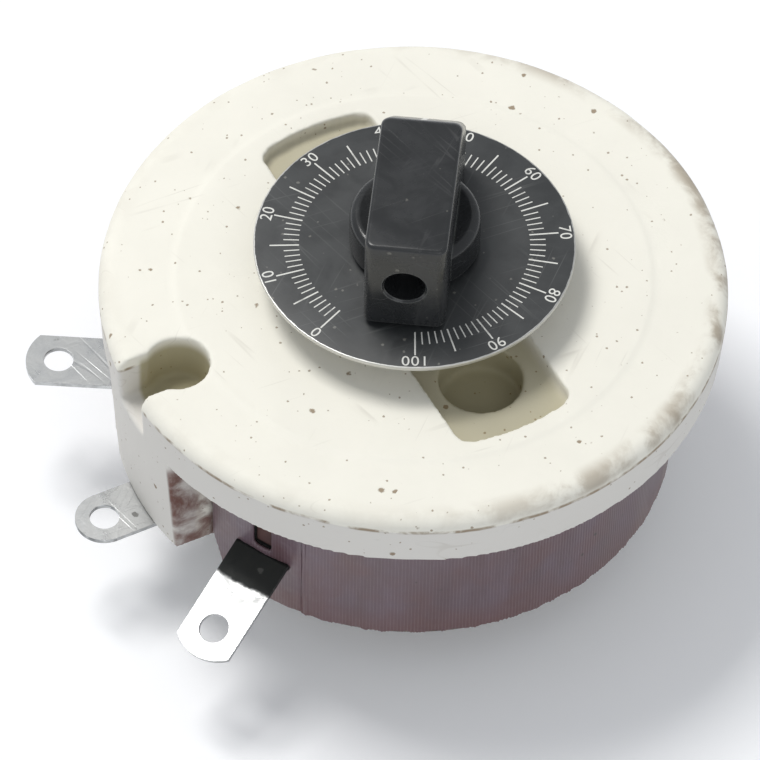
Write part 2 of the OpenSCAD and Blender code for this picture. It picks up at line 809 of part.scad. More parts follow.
module collector_holder() color(BRASS) rotate([0, 0, arm_turn])
    holder(-collector_mid, collector_l, collector_w, arm_z + collector_holder_h);

// Leaf that presses on both brushes, cranked rearwards at the arm brush
module brush_spring() {
    tip = brush_mid + brush_l / 2;
    crank_in = insulator_d / 2 + 2.5;
    crank_out = brush_mid - brush_l / 2 - 1.5;
    front = [[-arm_tail + leaf_t, leaf_z], [crank_in, leaf_z], [crank_out, brush_low], [tip, brush_low]];
    rear = [for (i = [len(front) - 1 : -1 : 0]) front[i] - [0, leaf_t]];
    color(BRONZE) rotate([0, 0, arm_turn]) difference() {
        union() {
            translate([0, leaf_w / 2, 0]) rotate([90, 0, 0]) linear_extrude(height = leaf_w)
                polygon(concat(front, rear));
            disc(insulator_d / 2 - 1, leaf_z - leaf_t, leaf_z);
        }
        neck_hole(insulator_z - over, leaf_z + over);
    }
}

// Braided shunt in a low bow from the arm brush back to the arm
module brush_shunt() {
    r = shunt_d / 2;
    start = [shunt_x, shunt_y, leaf_z - shunt_head_t - r];
    end = [brush_mid, brush_w / 2 + r, leaf_z - shunt_head_t - r];
    bow = [0, 0.6, -1.1];
    steps = 20;
    path = [for (i = [0 : steps]) let (t = i / steps) start + t * (end - start) + sin(180 * t) * bow];
    color(COPPER) rotate([0, 0, arm_turn]) sweep(path, r, [0, 0, 1], 8);
}

module shunt_rivet() color(STEEL) rotate([0, 0, arm_turn]) translate([shunt_x, shunt_y, 0]) {
    disc(shunt_pin_r, leaf_z - shunt_head_t / 2, arm_z + shunt_head_t / 2);
    disc(shunt_head_r, leaf_z - shunt_head_t, leaf_z);
    disc(shunt_head_r, arm_z, arm_z + shunt_head_t);
}

module rear_insulator() color(PORCELAIN) difference() {
    disc(insulator_d / 2, insulator_low, insulator_z);
    disc(shaft_r + seat_fit, insulator_low - over, insulator_z + over);
    disc(clip_room, insulator_low - over, clip_seat);
}

module rear_washer() color(STEEL)
    tube(clip_room - clip_rim, shaft_r + side_fit, clip_seat - rear_washer_t, clip_seat);

module rear_clip() color(STEEL) open_clip(rear_clip_z, 200);

ceramic_base();
winding_core();
resistance_winding();
enamel_coat();
end_terminal_left();
end_terminal_right();
centre_terminal();
terminal_rivet();
bushing();
lock_washer();
mounting_nut();
dial_spacer();
dial_plate();
dial_nut();
knob();
knob_insert();
set_screw();
shaft();
shaft_clip();
thrust_washer();
shaft_spring();
stop_plate();
arm_hub();
drive_pin();
contact_arm();
arm_brush();
brush_holder();
collector_brush();
collector_holder();
brush_spring();
brush_shunt();
shunt_rivet();
rear_insulator();
rear_washer();
rear_clip();
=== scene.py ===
"""Finish and stage for a wirewound ring rheostat with a bar knob and a numbered dial."""
import json
import math

import bmesh
import bpy
from mathutils import Matrix, Vector, noise


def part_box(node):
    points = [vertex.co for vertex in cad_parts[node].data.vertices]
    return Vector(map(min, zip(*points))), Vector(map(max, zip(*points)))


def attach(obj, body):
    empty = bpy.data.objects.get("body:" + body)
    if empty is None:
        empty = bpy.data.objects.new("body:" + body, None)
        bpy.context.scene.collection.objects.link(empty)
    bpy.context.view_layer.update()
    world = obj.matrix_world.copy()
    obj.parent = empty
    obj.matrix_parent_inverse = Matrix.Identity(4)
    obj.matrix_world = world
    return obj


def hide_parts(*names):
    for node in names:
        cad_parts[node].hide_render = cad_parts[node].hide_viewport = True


bl_info = {
    "name": "Ring Rheostat",
    "version": (1, 0, 0),
    "blender": (4, 5, 0),
    "location": "3D View > Sidebar > Rheostat",
    "description": "Dresses the rheostat's frame with moulded, wound and printed pieces and finishes",
    "category": "Object",
}

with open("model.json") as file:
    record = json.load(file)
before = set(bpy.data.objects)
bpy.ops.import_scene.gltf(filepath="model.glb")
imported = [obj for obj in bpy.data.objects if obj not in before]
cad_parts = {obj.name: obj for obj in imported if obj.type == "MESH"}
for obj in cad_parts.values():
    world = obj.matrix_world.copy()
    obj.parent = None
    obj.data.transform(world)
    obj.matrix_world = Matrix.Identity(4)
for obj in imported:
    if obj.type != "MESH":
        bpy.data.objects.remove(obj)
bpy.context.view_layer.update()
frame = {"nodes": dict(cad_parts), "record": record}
MM = 0.001

STATOR = "stator"
ROTOR = "rotor"
KNOB_LOW, KNOB_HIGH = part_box("knob")
DIAL_LOW, DIAL_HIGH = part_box("dial_plate")
RING_LOW, RING_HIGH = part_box("enamel_coat")
CORE_LOW, CORE_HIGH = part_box("winding_core")
DIAL_TOP = DIAL_HIGH.z
DIAL_R = DIAL_HIGH.x
BASE_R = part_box("ceramic_base")[1].x
# The part stands on its rear insulator
FLOOR_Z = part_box("rear_insulator")[0].z
# Directions are degrees anticlockwise from +X, seen from the front
BLOCK_AZ = -152.0
POINTER_TURN = -4.4


# ---------------------------------------------------------------- settings

def colour(name, text, value):
    """A colour setting; the values are scene-linear."""
    return bpy.props.FloatVectorProperty(
        name=name, description=text, default=value, size=3, subtype="COLOR", min=0, max=1)


def length(name, text, value):
    """A length setting in metres, given in millimetres."""
    return bpy.props.FloatProperty(
        name=name, description=text, default=value * MM, unit="LENGTH", subtype="DISTANCE",
        min=0, precision=5)


def share(name, text, value):
    """A setting from 0 to 1."""
    return bpy.props.FloatProperty(
        name=name, description=text, default=value, min=0, max=1, subtype="FACTOR")


class CeramicSettings(bpy.types.PropertyGroup):
    """Colours and moulding of the ceramic base"""
    face: colour("Face", "Colour of the cream face", (0.86, 0.84, 0.755))
    band: colour("Band", "Colour of the greyer side band", (0.70, 0.68, 0.64))
    # Brown used for the glaze line and the specks, and also as painted shade on the rim's rounding
    dirt: colour("Dirt", "Colour of dirt in the rim and the specks", (0.20, 0.125, 0.05))
    # painted shade: this olive grey darkens the pockets and the channel
    damp: colour("Pocket", "Colour that collects in the pockets", (0.36, 0.32, 0.18))
    voxel: length("Detail", "Size of the cells that round the moulded edges", 0.45)
    uneven: length("Unevenness", "Height of the waves of the moulded skin", 0.07)
    specks: share("Specks", "How many brown specks show", 0.5)


class EnamelSettings(bpy.types.PropertyGroup):
    """Colours of the enamel and the wire under it"""
    coat: colour("Coat", "Colour of the enamel", (0.098, 0.055, 0.066))
    warm: colour("Warm patches", "Colour where the enamel is thin", (0.13, 0.050, 0.042))
    milky: colour("Milky patches", "Colour where the enamel is thick", (0.135, 0.092, 0.118))
    pitch: length("Wire pitch", "Distance between two turns of wire", 0.56)
    ridge: length("Ridge", "Height of the ridge over each turn", 0.05)


class MetalSettings(bpy.types.PropertyGroup):
    """Colours of the metals"""
    tinned: colour("Tinned", "Colour of the tinned lugs", (0.62, 0.63, 0.63))
    baked: colour("Baked", "Colour of the oxide near the enamel", (0.018, 0.02, 0.019))
    brass: colour("Brass", "Colour of the turned brass", (0.60, 0.42, 0.16))
    bronze: colour("Bronze", "Colour of the spring bronze", (0.52, 0.31, 0.15))
    steel: colour("Steel", "Colour of the plated steel", (0.42, 0.43, 0.45))
    copper: colour("Copper", "Colour of the braided shunt", (0.60, 0.27, 0.14))


class DialSettings(bpy.types.PropertyGroup):
    """Colours and scale of the dial"""
    black: colour("Black", "Colour of the anodised face", (0.020, 0.022, 0.023))
    bare: colour("Bare edge", "Colour of the worn aluminium edge", (0.60, 0.60, 0.58))
    print: colour("Print", "Colour of the marks", (0.72, 0.72, 0.68))
    zero_az: bpy.props.FloatProperty(
        name="Zero", description="Direction of the mark 0", default=math.radians(-128.5), subtype="ANGLE")
    span: bpy.props.FloatProperty(
        name="Span", description="Angle from 0 to 100", default=math.radians(320), subtype="ANGLE")
    figure: length("Figure height", "Height of the numbers", 2.0)


class KnobSettings(bpy.types.PropertyGroup):
    """Colours and rounding of the knob"""
    black: colour("Black", "Colour of the moulding", (0.016, 0.017, 0.018))
    worn: colour("Worn edges", "Colour of the rubbed edges", (0.12, 0.125, 0.12))
    edge: length("Edge", "Rounding of the bar's edges", 0.7)


SETTINGS = {
    "ceramic": CeramicSettings,
    "enamel": EnamelSettings,
    "metal": MetalSettings,
    "dial": DialSettings,
    "knob": KnobSettings,
}


def settings(name):
    """The scene's settings of one kind."""
    return getattr(bpy.context.scene, "rheostat_" + name)


# ---------------------------------------------------------------- node helpers

class Tree:
    """Short calls that build one node tree."""

    def __init__(self, tree):
        self.tree = tree

    def add(self, kind, inputs=None, **values):
        """A node; inputs maps socket names to a value or to the socket that feeds it."""
        node = self.tree.nodes.new("ShaderNode" + kind)
        for name, value in values.items():
            setattr(node, name, value)
        for name, value in (inputs or {}).items():
            self.feed(node.inputs[name], value)
        return node

    def feed(self, socket, value):
        """Links a socket, or sets its value."""
        if isinstance(value, bpy.types.NodeSocket):
            self.tree.links.new(value, socket)
        elif value is not None:
            socket.default_value = value

    def math(self, operation, a, b=None, clamp=False):
        """One Math node's result."""
        node = self.add("Math", operation=operation, use_clamp=clamp)
        self.feed(node.inputs[0], a)
        self.feed(node.inputs[1], b)
        return node.outputs[0]

    def mix(self, factor, a, b, blend="MIX"):
        """A mix of two colours."""
        node = self.add("Mix", data_type="RGBA", blend_type=blend)
        self.feed(node.inputs["Factor"], factor)
        self.feed(node.inputs[6], rgba(a))
        self.feed(node.inputs[7], rgba(b))
        return node.outputs[2]

    def step(self, value, low, high, out_low=0.0, out_high=1.0):
        """A smooth step from out_low at low to out_high at high."""
        node = self.add("MapRange", interpolation_type="SMOOTHSTEP")
        for socket, number in zip(node.inputs[:5], (value, low, high, out_low, out_high)):
            self.feed(socket, number)
        return node.outputs[0]

    def noise(self, vector, scale, detail=2.0, rough=0.5, distortion=0.0):
        """A noise value from 0 to 1."""
        node = self.add("TexNoise", {
            "Vector": vector, "Scale": scale, "Detail": detail,
            "Roughness": rough, "Distortion": distortion})
        return node.outputs[0]

    def place(self):
        """Object coordinates, in metres."""
        return self.add("TexCoord").outputs["Object"]

    def parts(self, vector):
        """The x, y and z of a vector."""
        return self.add("SeparateXYZ", {0: vector}).outputs

    def scaled(self, vector, x, y, z):
        """A vector with each axis scaled."""
        return self.add("VectorMath", {0: vector, 1: (x, y, z)}, operation="MULTIPLY").outputs[0]

    def radius(self, vector):
        """Distance from the shaft's axis."""
        flat = self.scaled(vector, 1, 1, 0)
        return self.add("VectorMath", {0: flat}, operation="LENGTH").outputs["Value"]

    def angle(self, vector):
        """Angle round the shaft, in radians."""
        x, y, _ = self.parts(vector)
        return self.math("ARCTAN2", y, x)

    def group(self, name, **inputs):
        """A shared group with its inputs set."""
        node = self.tree.nodes.new("ShaderNodeGroup")
        node.node_tree = shared(name)
        for key, value in inputs.items():
            self.feed(node.inputs[key.replace("_", " ").title()], value)
        return node.outputs[0]

    def bump(self, height, depth, below=None):
        """A bumped normal; depth is in metres."""
        node = self.add("Bump", {"Height": height, "Distance": depth, "Strength": 1.0, "Normal": below})
        return node.outputs[0]


def rgba(value):
    """A colour with its alpha, or the socket itself."""
    if isinstance(value, bpy.types.NodeSocket) or value is None:
        return value
    return (*value, 1.0)[:4]


# ---------------------------------------------------------------- shared effects

def group_tree(name, inputs, output="Mask", kind="NodeSocketFloat"):
    """An empty group with float inputs and one output."""
    tree = bpy.data.node_groups.new(name, "ShaderNodeTree")
    for label, value in inputs.items():
        socket = tree.interface.new_socket(label, in_out="INPUT", socket_type="NodeSocketFloat")
        socket.default_value = value
    tree.interface.new_socket(output, in_out="OUTPUT", socket_type=kind)
    return Tree(tree), tree.nodes.new("NodeGroupInput").outputs, tree.nodes.new("NodeGroupOutput").inputs


def specks_group():
    """Scattered small spots with ragged edges."""
    t, given, out = group_tree("Specks", {"Scale": 900.0, "Amount": 0.5, "Seed": 0.0})
    place = t.add("VectorMath", {0: t.place(), 1: given["Seed"]}, operation="ADD").outputs[0]
    ragged = t.noise(place, t.math("MULTIPLY", given["Scale"], 2.2), 3.0, 0.65)
    cell = t.add("TexVoronoi", {"Vector": place, "Scale": given["Scale"], "Randomness": 1.0})
    near = t.math("ADD", cell.outputs["Distance"], t.math("MULTIPLY", ragged, 0.5))
    size = t.parts(cell.outputs["Color"])
    chosen = t.math("GREATER_THAN", size[0], t.math("SUBTRACT", 1.0, given["Amount"]))
    limit = t.math("MULTIPLY", size[1], 0.34)
    dot = t.step(t.math("SUBTRACT", near, limit), 0.14, 0.26, 1.0, 0.0)
    t.feed(out[0], t.math("MULTIPLY", dot, chosen))
    return t.tree


def blotches_group():
    """Soft cloudy patches."""
    t, given, out = group_tree("Blotches", {"Scale": 60.0, "Level": 0.5, "Softness": 0.15, "Seed": 0.0})
    place = t.add("VectorMath", {0: t.place(), 1: given["Seed"]}, operation="ADD").outputs[0]
    cloud = t.noise(place, given["Scale"], 5.0, 0.6, 0.4)
    low = t.math("SUBTRACT", given["Level"], given["Softness"])
    high = t.math("ADD", given["Level"], given["Softness"])
    t.feed(out[0], t.step(cloud, low, high))
    return t.tree


def scratches_group():
    """Fine straight hairlines in two crossing directions."""
    t, given, out = group_tree("Scratches", {"Scale": 220.0, "Amount": 0.5, "Seed": 0.0})
    place = t.add("VectorMath", {0: t.place(), 1: given["Seed"]}, operation="ADD").outputs[0]
    found = None
    for turn in (0.35, 1.15, 2.4):
        turned = t.add("VectorRotate", {"Vector": place, "Angle": turn}, rotation_type="Z_AXIS").outputs[0]
        stretched = t.scaled(turned, 1.0, 0.035, 1.0)
        line = t.noise(stretched, given["Scale"], 1.0, 0.4)
        thin = t.step(t.math("ABSOLUTE", t.math("SUBTRACT", line, 0.5)), 0.0, 0.012, 1.0, 0.0)
        patch = t.step(t.noise(turned, 90.0, 1.0), t.math("SUBTRACT", 1.0, given["Amount"]), 0.78)
        here = t.math("MULTIPLY", thin, patch)
        found = here if found is None else t.math("MAXIMUM", found, here)
    t.feed(out[0], found)
    return t.tree


def edges_group():
    """Rubbed outer edges, broken up by noise."""
    t, given, out = group_tree("Edge Wear", {"Radius": 0.0004, "Breakup": 0.5, "Scale": 500.0})
    bevel = t.add("Bevel", {"Radius": given["Radius"]}, samples=8).outputs[0]
    straight = t.add("NewGeometry").outputs["Normal"]
    facing = t.add("VectorMath", {0: bevel, 1: straight}, operation="DOT_PRODUCT").outputs["Value"]
    edge = t.step(facing, 0.995, 0.90)
    worn = t.noise(t.place(), given["Scale"], 4.0, 0.6)
    keep = t.step(worn, t.math("MULTIPLY", given["Breakup"], 0.9), t.math("ADD", given["Breakup"], 0.1))
    t.feed(out[0], t.math("MULTIPLY", edge, keep))
    return t.tree


def grain_group():
    """Height of a fine sandy or cast grain."""
    t, given, out = group_tree("Grain", {"Scale": 2500.0, "Coarse": 400.0}, output="Height")
    fine = t.noise(t.place(), given["Scale"], 3.0, 0.6)
    coarse = t.noise(t.place(), given["Coarse"], 3.0, 0.5)
    t.feed(out[0], t.math("ADD", t.math("MULTIPLY", fine, 0.35), t.math("MULTIPLY", coarse, 0.65)))
    return t.tree


def turned_group():
    """Height of fine lathe rings round the shaft's axis."""
    t, given, out = group_tree("Turned Rings", {"Pitch": 0.00012}, output="Height")
    place = t.place()
    reach = t.math("ADD", t.radius(place), t.parts(place)[2])
    wave = t.math("SINE", t.math("MULTIPLY", t.math("DIVIDE", reach, given["Pitch"]), math.tau))
    t.feed(out[0], t.math("MULTIPLY", wave, t.noise(place, 300.0, 1.0)))
    return t.tree


GROUPS = {
    "Specks": specks_group,
    "Blotches": blotches_group,
    "Scratches": scratches_group,
    "Edge Wear": edges_group,
    "Grain": grain_group,
    "Turned Rings": turned_group,
}


def shared(name):
    """The shared group of that name, built once."""
    return bpy.data.node_groups.get(name) or GROUPS[name]()


# ---------------------------------------------------------------- materials

def material(name, build):
    """The named material, built once by a function that gets its tree and shader."""
    made = bpy.data.materials.get(name)
    if made is None:
        made = bpy.data.materials.new(name)
        made.use_nodes = True
        shader = made.node_tree.nodes["Principled BSDF"]
        build(Tree(made.node_tree), shader)
    return made


def paint(t, shader, base, rough, normal=None, **plain):
    """Feeds the shader's changing inputs and sets its plain ones."""
    t.feed(shader.inputs["Base Color"], rgba(base))
    t.feed(shader.inputs["Roughness"], rough)
    t.feed(shader.inputs["Normal"], normal)
    for name, value in plain.items():
        shader.inputs[name.replace("_", " ").title().replace("Ior", "IOR")].default_value = value


def ceramic_finish(t, shader):
    """Cream moulded ceramic: greyer band, brown specks, a dark glaze line, painted shade on the rim's
    rounding and in the pockets, and a stained terminal block.
    """
    look = settings("ceramic")
    place = t.place()
    x, y, z = t.parts(place)
    reach = t.radius(place)
    cloud = t.group("Blotches", scale=70.0, level=0.5, softness=0.3)
    base = t.mix(t.math("MULTIPLY", cloud, 0.5), look.face, [c * 0.93 for c in look.face])

    # the side band is greyer, below a thin broken line of glaze
    line_z = t.math("ADD", z, t.math("MULTIPLY", t.noise(place, 90.0, 3.0), 0.9 * MM))
    side = t.math("MULTIPLY", t.step(line_z, -2.1 * MM, -2.5 * MM), t.step(reach, 45 * MM, 46 * MM))
    base = t.mix(side, base, look.band)
    seam = t.step(t.math("ABSOLUTE", t.math("ADD", line_z, 2.25 * MM)), 0.12 * MM, 0.5 * MM, 1.0, 0.0)
    broken = t.group("Blotches", scale=260.0, level=0.5, softness=0.12, seed=3.0)
    seam = t.math("MULTIPLY", t.math("MULTIPLY", seam, t.step(reach, 47 * MM, 49 * MM)), broken)
    base = t.mix(t.math("MULTIPLY", seam, 0.8), base, look.dirt)

    # painted shade: the rim's rounding is darkened with a brown tone, most on the right
    rounding = t.math("MULTIPLY", t.step(reach, 46.5 * MM, 49.5 * MM), t.step(z, -3.0 * MM, -1.6 * MM))
    right = t.step(x, -10 * MM, 45 * MM, 0.12, 1.0)
    smear_and_shade = t.group("Blotches", scale=120.0, level=0.52, softness=0.12, seed=7.0)
    dirt = t.math("MULTIPLY", t.math("MULTIPLY", rounding, right), smear_and_shade)
    base = t.mix(t.math("MULTIPLY", dirt, 0.6), base, look.dirt)

    # painted shade: the pockets and the channel are darkened to an olive grey
    front = t.math("MULTIPLY", t.step(z, -0.6 * MM, -3.2 * MM), t.step(reach, 47.5 * MM, 46.5 * MM))
    sunk = t.math("MULTIPLY", front, t.step(z, -12 * MM, -10.5 * MM))
    base = t.mix(t.math("MULTIPLY", sunk, 0.85), base, look.damp)

    # specks and hairlines
    small = t.group("Specks", scale=1250.0, amount=look.specks * 0.26)
    large = t.group("Specks", scale=520.0, amount=look.specks * 0.10, seed=5.0)
    spots = t.math("MAXIMUM", t.math("MULTIPLY", small, 0.7), t.math("MULTIPLY", large, 0.8))
    base = t.mix(spots, base, look.dirt)
    hair = t.group("Scratches", scale=160.0, amount=0.42)
    base = t.mix(t.math("MULTIPLY", hair, 0.3), base, [0.45, 0.42, 0.36])

    # red-brown enamel stain on the sides of the terminal block
    along = Vector((math.cos(math.radians(BLOCK_AZ)), math.sin(math.radians(BLOCK_AZ)), 0))
    across = Vector((-along.y, along.x, 0))
    off = t.add("VectorMath", {0: place, 1: across}, operation="DOT_PRODUCT").outputs["Value"]
    flank = t.math("MULTIPLY", t.step(t.math("ABSOLUTE", off), 10.2 * MM, 10.9 * MM),
                   t.step(z, -11.0 * MM, -13.5 * MM))
    flank = t.math("MULTIPLY", flank, t.step(t.math("ABSOLUTE", off), 14 * MM, 12 * MM))
    stain = t.group("Blotches", scale=170.0, level=0.44, softness=0.2, seed=11.0)
    base = t.mix(t.math("MULTIPLY", flank, stain), base, [0.16, 0.075, 0.06])

    grain = t.group("Grain", scale=2600.0, coarse=420.0)
    normal = t.bump(grain, 0.05 * MM)
    rough = t.step(cloud, 0.0, 1.0, 0.62, 0.78)
    paint(t, shader, base, rough, normal, specular_ior_level=0.35)


def porcelain_finish(t, shader):
    """Glazed porcelain with faint clouds."""
    cloud = t.group("Blotches", scale=200.0, level=0.5, softness=0.25)
    base = t.mix(cloud, [0.74, 0.71, 0.62], [0.66, 0.62, 0.52])
    specks = t.group("Specks", scale=700.0, amount=0.1)
    base = t.mix(t.math("MULTIPLY", specks, 0.6), base, [0.25, 0.18, 0.10])
    normal = t.bump(t.group("Grain", scale=1200.0), 0.02 * MM)
    paint(t, shader, base, t.step(cloud, 0, 1, 0.22, 0.36), normal, coat_weight=0.4, coat_roughness=0.12)


def core_finish(t, shader):
    """Core ceramic under a thin red-brown wash of enamel."""
    cloud = t.group("Blotches", scale=150.0, level=0.5, softness=0.25)
    base = t.mix(cloud, [0.15, 0.075, 0.065], [0.09, 0.05, 0.05])
    paint(t, shader, base, t.step(cloud, 0, 1, 0.7, 0.85), t.bump(t.group("Grain"), 0.04 * MM))


def enamel_finish(t, shader):
    """Satin maroon enamel, thin and warm over the wires, milky in runs."""
    look = settings("enamel")
    place = t.place()
    z = t.parts(place)[2]
    runs = t.noise(t.scaled(place, 1, 1, 0.25), 130.0, 4.0, 0.6)
    thick = t.group("Blotches", scale=95.0, level=0.54, softness=0.16)
    base = t.mix(t.step(runs, 0.35, 0.7), look.coat, look.milky)
    base = t.mix(t.math("MULTIPLY", thick, 0.45), base, look.warm)
    low = t.step(z, -31 * MM, -38 * MM)
    base = t.mix(t.math("MULTIPLY", low, 0.55), base, look.warm)
    ridge = t.math("SINE", t.math("MULTIPLY", t.angle(place), math.tau * RING_HIGH.x / look.pitch))
    worn = t.math("MULTIPLY", t.step(ridge, 0.45, 1.0), t.noise(place, 600.0, 2.0))
    base = t.mix(t.math("MULTIPLY", worn, 0.35), base, [0.34, 0.28, 0.30])
    specks = t.group("Specks", scale=520.0, amount=0.06, seed=2.0)
    base = t.mix(specks, base, [0.05, 0.035, 0.03])
    normal = t.bump(t.group("Grain", scale=1500.0, coarse=260.0), 0.05 * MM)
    rough = t.step(runs, 0.3, 0.75, 0.30, 0.50)
    paint(t, shader, base, rough, normal, specular_ior_level=0.6, coat_weight=0.25, coat_roughness=0.3)


def wire_finish(t, shader):
    """Bare resistance wire, lying side by side across the track."""
    place = t.place()
    pitch = settings("enamel").pitch
    turns = t.math("SINE", t.math("MULTIPLY", t.angle(place), math.tau * CORE_HIGH.x / pitch))
    soot = t.group("Blotches", scale=300.0, level=0.5, softness=0.2)
    base = t.mix(t.step(turns, -0.6, 0.4), [0.03, 0.025, 0.02], [0.34, 0.29, 0.24])
    base = t.mix(t.math("MULTIPLY", soot, 0.5), base, [0.10, 0.08, 0.06])
    metal = t.step(turns, -0.4, 0.3, 0.2, 1.0)
    t.feed(shader.inputs["Metallic"], metal)
    paint(t, shader, base, t.step(soot, 0, 1, 0.35, 0.6), t.bump(turns, 0.05 * MM))


def metal_finish(base, rough, grime, turned=False, scale=1.0):
    """A function that builds worn metal of one colour."""
    def build(t, shader):
        cloud = t.group("Blotches", scale=160.0 * scale, level=0.5, softness=0.25)
        colour_now = t.mix(t.math("MULTIPLY", cloud, 0.4), base, [c * 0.72 for c in base])
        spots = t.group("Specks", scale=650.0 * scale, amount=0.10)
        colour_now = t.mix(t.math("MULTIPLY", spots, grime), colour_now, [c * 0.2 for c in base])
        edge = t.group("Edge Wear", radius=0.25 * MM, breakup=0.35)
        colour_now = t.mix(t.math("MULTIPLY", edge, 0.6), colour_now, [min(1.0, c * 1.35) for c in base])
        hair = t.group("Scratches", scale=420.0 * scale, amount=0.5)
        if turned:
            height = t.group("Turned Rings")
        else:
            height = t.group("Grain", scale=3000.0, coarse=700.0)
        normal = t.bump(hair, -0.01 * MM, t.bump(height, 0.012 * MM))
        smooth = t.step(cloud, 0, 1, rough - 0.05, rough + 0.12)
        rough_now = t.math("ADD", smooth, t.math("MULTIPLY", spots, 0.2))
        paint(t, shader, colour_now, rough_now, normal, metallic=1.0)
    return build


def tinned_finish(t, shader):
    """Tinned sheet: bright and smeared outside, baked black where it leaves the enamel."""
    look = settings("metal")
    place = t.place()
    reach = t.radius(place)
    smear_and_shade = t.noise(place, 260.0, 5.0, 0.65, 0.6)
    base = t.mix(t.step(smear_and_shade, 0.35, 0.7), [c * 0.66 for c in look.tinned], look.tinned)
    ragged = t.math("ADD", reach, t.math("MULTIPLY", t.noise(place, 420.0, 4.0, 0.6), 1.6 * MM))
    front = t.step(t.parts(place)[1], -31 * MM, -34 * MM)
    baked = t.math("MULTIPLY", t.step(ragged, 50.3 * MM, 49.6 * MM), front)
    base = t.mix(baked, base, look.baked)
    specks = t.group("Specks", scale=480.0, amount=0.16)
    base = t.mix(t.math("MULTIPLY", specks, 0.75), base, [0.10, 0.10, 0.095])
    rough = t.math("ADD", t.step(smear_and_shade, 0.3, 0.7, 0.42, 0.24), t.math("MULTIPLY", baked, 0.2))
    hair = t.group("Scratches", scale=380.0, amount=0.55)
    normal = t.bump(hair, -0.015 * MM, t.bump(smear_and_shade, 0.03 * MM))
    t.feed(shader.inputs["Metallic"], t.step(baked, 0, 1, 1.0, 0.25))
    paint(t, shader, base, rough, normal)


def dial_finish(t, shader):
    """Matte black anodised plate with a rubbed bare edge."""
    look = settings("dial")
    place = t.place()
    z = t.parts(place)[2]
    reach = t.math("ADD", t.radius(place), t.math("MULTIPLY", t.noise(place, 500.0, 4.0, 0.6), 0.35 * MM))
    rim = t.step(reach, DIAL_R - 0.10 * MM, DIAL_R + 0.05 * MM)
    below = t.step(z, DIAL_TOP - 0.1 * MM, DIAL_TOP - 0.3 * MM)
    bare = t.math("MAXIMUM", rim, below)
    cloud = t.group("Blotches", scale=130.0, level=0.5, softness=0.25)
    base = t.mix(cloud, look.black, [c * 1.7 for c in look.black])
    hair = t.group("Scratches", scale=260.0, amount=0.5)
    base = t.mix(t.math("MULTIPLY", hair, 0.35), base, [0.16, 0.165, 0.16])
    dust = t.group("Specks", scale=900.0, amount=0.12, seed=4.0)
    base = t.mix(t.math("MULTIPLY", dust, 0.35), base, [0.35, 0.34, 0.30])
    base = t.mix(bare, base, look.bare)
    t.feed(shader.inputs["Metallic"], t.step(bare, 0, 1, 0.0, 1.0))
    rough = t.step(cloud, 0, 1, 0.36, 0.48)
    paint(t, shader, base, rough, t.bump(t.group("Grain", scale=3500.0, coarse=900.0), 0.01 * MM),
          specular_ior_level=0.7)


def print_finish(t, shader):
    """Slightly chalky printed marks, rubbed thin in places."""
    look = settings("dial")
    thin = t.group("Blotches", scale=420.0, level=0.36, softness=0.12)
    base = t.mix(thin, [c * 0.62 for c in look.print], look.print)
    paint(t, shader, base, t.step(thin, 0, 1, 0.7, 0.55), t.bump(thin, 0.005 * MM))


def knob_finish(t, shader):
    """Glossy black moulding with rubbed grey edges, dust and hairlines."""
    look = settings("knob")
    cloud = t.group("Blotches", scale=140.0, level=0.5, softness=0.25)
    base = t.mix(cloud, look.black, [c * 1.6 for c in look.black])
    edge = t.group("Edge Wear", radius=0.55 * MM, breakup=0.3, scale=700.0)
    base = t.mix(t.math("MULTIPLY", edge, 0.8), base, look.worn)
    dust = t.group("Specks", scale=800.0, amount=0.16, seed=6.0)
    base = t.mix(t.math("MULTIPLY", dust, 0.4), base, [0.25, 0.24, 0.21])
    hair = t.group("Scratches", scale=320.0, amount=0.55, seed=1.0)
    base = t.mix(t.math("MULTIPLY", hair, 0.25), base, [0.12, 0.12, 0.12])
    rough = t.math("ADD", t.step(cloud, 0, 1, 0.20, 0.32), t.math("MULTIPLY", edge, 0.25))
    normal = t.bump(hair, -0.012 * MM, t.bump(t.group("Grain", scale=2600.0, coarse=500.0), 0.006 * MM))
    paint(t, shader, base, rough, normal, specular_ior_level=0.5)


def carbon_finish(t, shader):
    """Metal-graphite brush."""
    cloud = t.group("Blotches", scale=600.0, level=0.5, softness=0.2)
    base = t.mix(cloud, [0.035, 0.03, 0.028], [0.09, 0.065, 0.05])
    t.feed(shader.inputs["Metallic"], t.step(cloud, 0, 1, 0.4, 0.8))
    paint(t, shader, base, t.step(cloud, 0, 1, 0.4, 0.55), t.bump(t.group("Grain", scale=4000.0), 0.02 * MM))


def braid_finish(t, shader):
    """Braided copper."""
    place = t.place()
    weave = t.add("TexWave", {"Vector": place, "Scale": 900.0, "Distortion": 2.0, "Detail": 1.0},
                  bands_direction="DIAGONAL").outputs["Fac"]
    copper = settings("metal").copper
    base = t.mix(weave, [c * 0.35 for c in copper], copper)
    paint(t, shader, base, t.step(weave, 0, 1, 0.5, 0.32), t.bump(weave, 0.06 * MM), metallic=1.0)


def metals(name):
    """The build function of one plain metal."""
    look = settings("metal")
    return {
        "steel": metal_finish(look.steel, 0.32, 0.5, turned=True),
        "brass": metal_finish(look.brass, 0.30, 0.5, turned=True),
        "bronze": metal_finish(look.bronze, 0.34, 0.6),
    }[name]


FINISHES = {
    "ceramic": ceramic_finish,
    "porcelain": porcelain_finish,
    "core_ceramic": core_finish,
    "enamel": enamel_finish,
    "resistance_wire": wire_finish,
    "tinned": tinned_finish,
    "dial_face": dial_finish,
    "dial_print": print_finish,
    "knob_plastic": knob_finish,
    "carbon": carbon_finish,
    "copper": braid_finish,
}


def finish_of(slot):
    """The material of one of the record's slots."""
    return material(slot + "_finish", FINISHES[slot] if slot in FINISHES else metals(slot))


# ---------------------------------------------------------------- mesh helpers

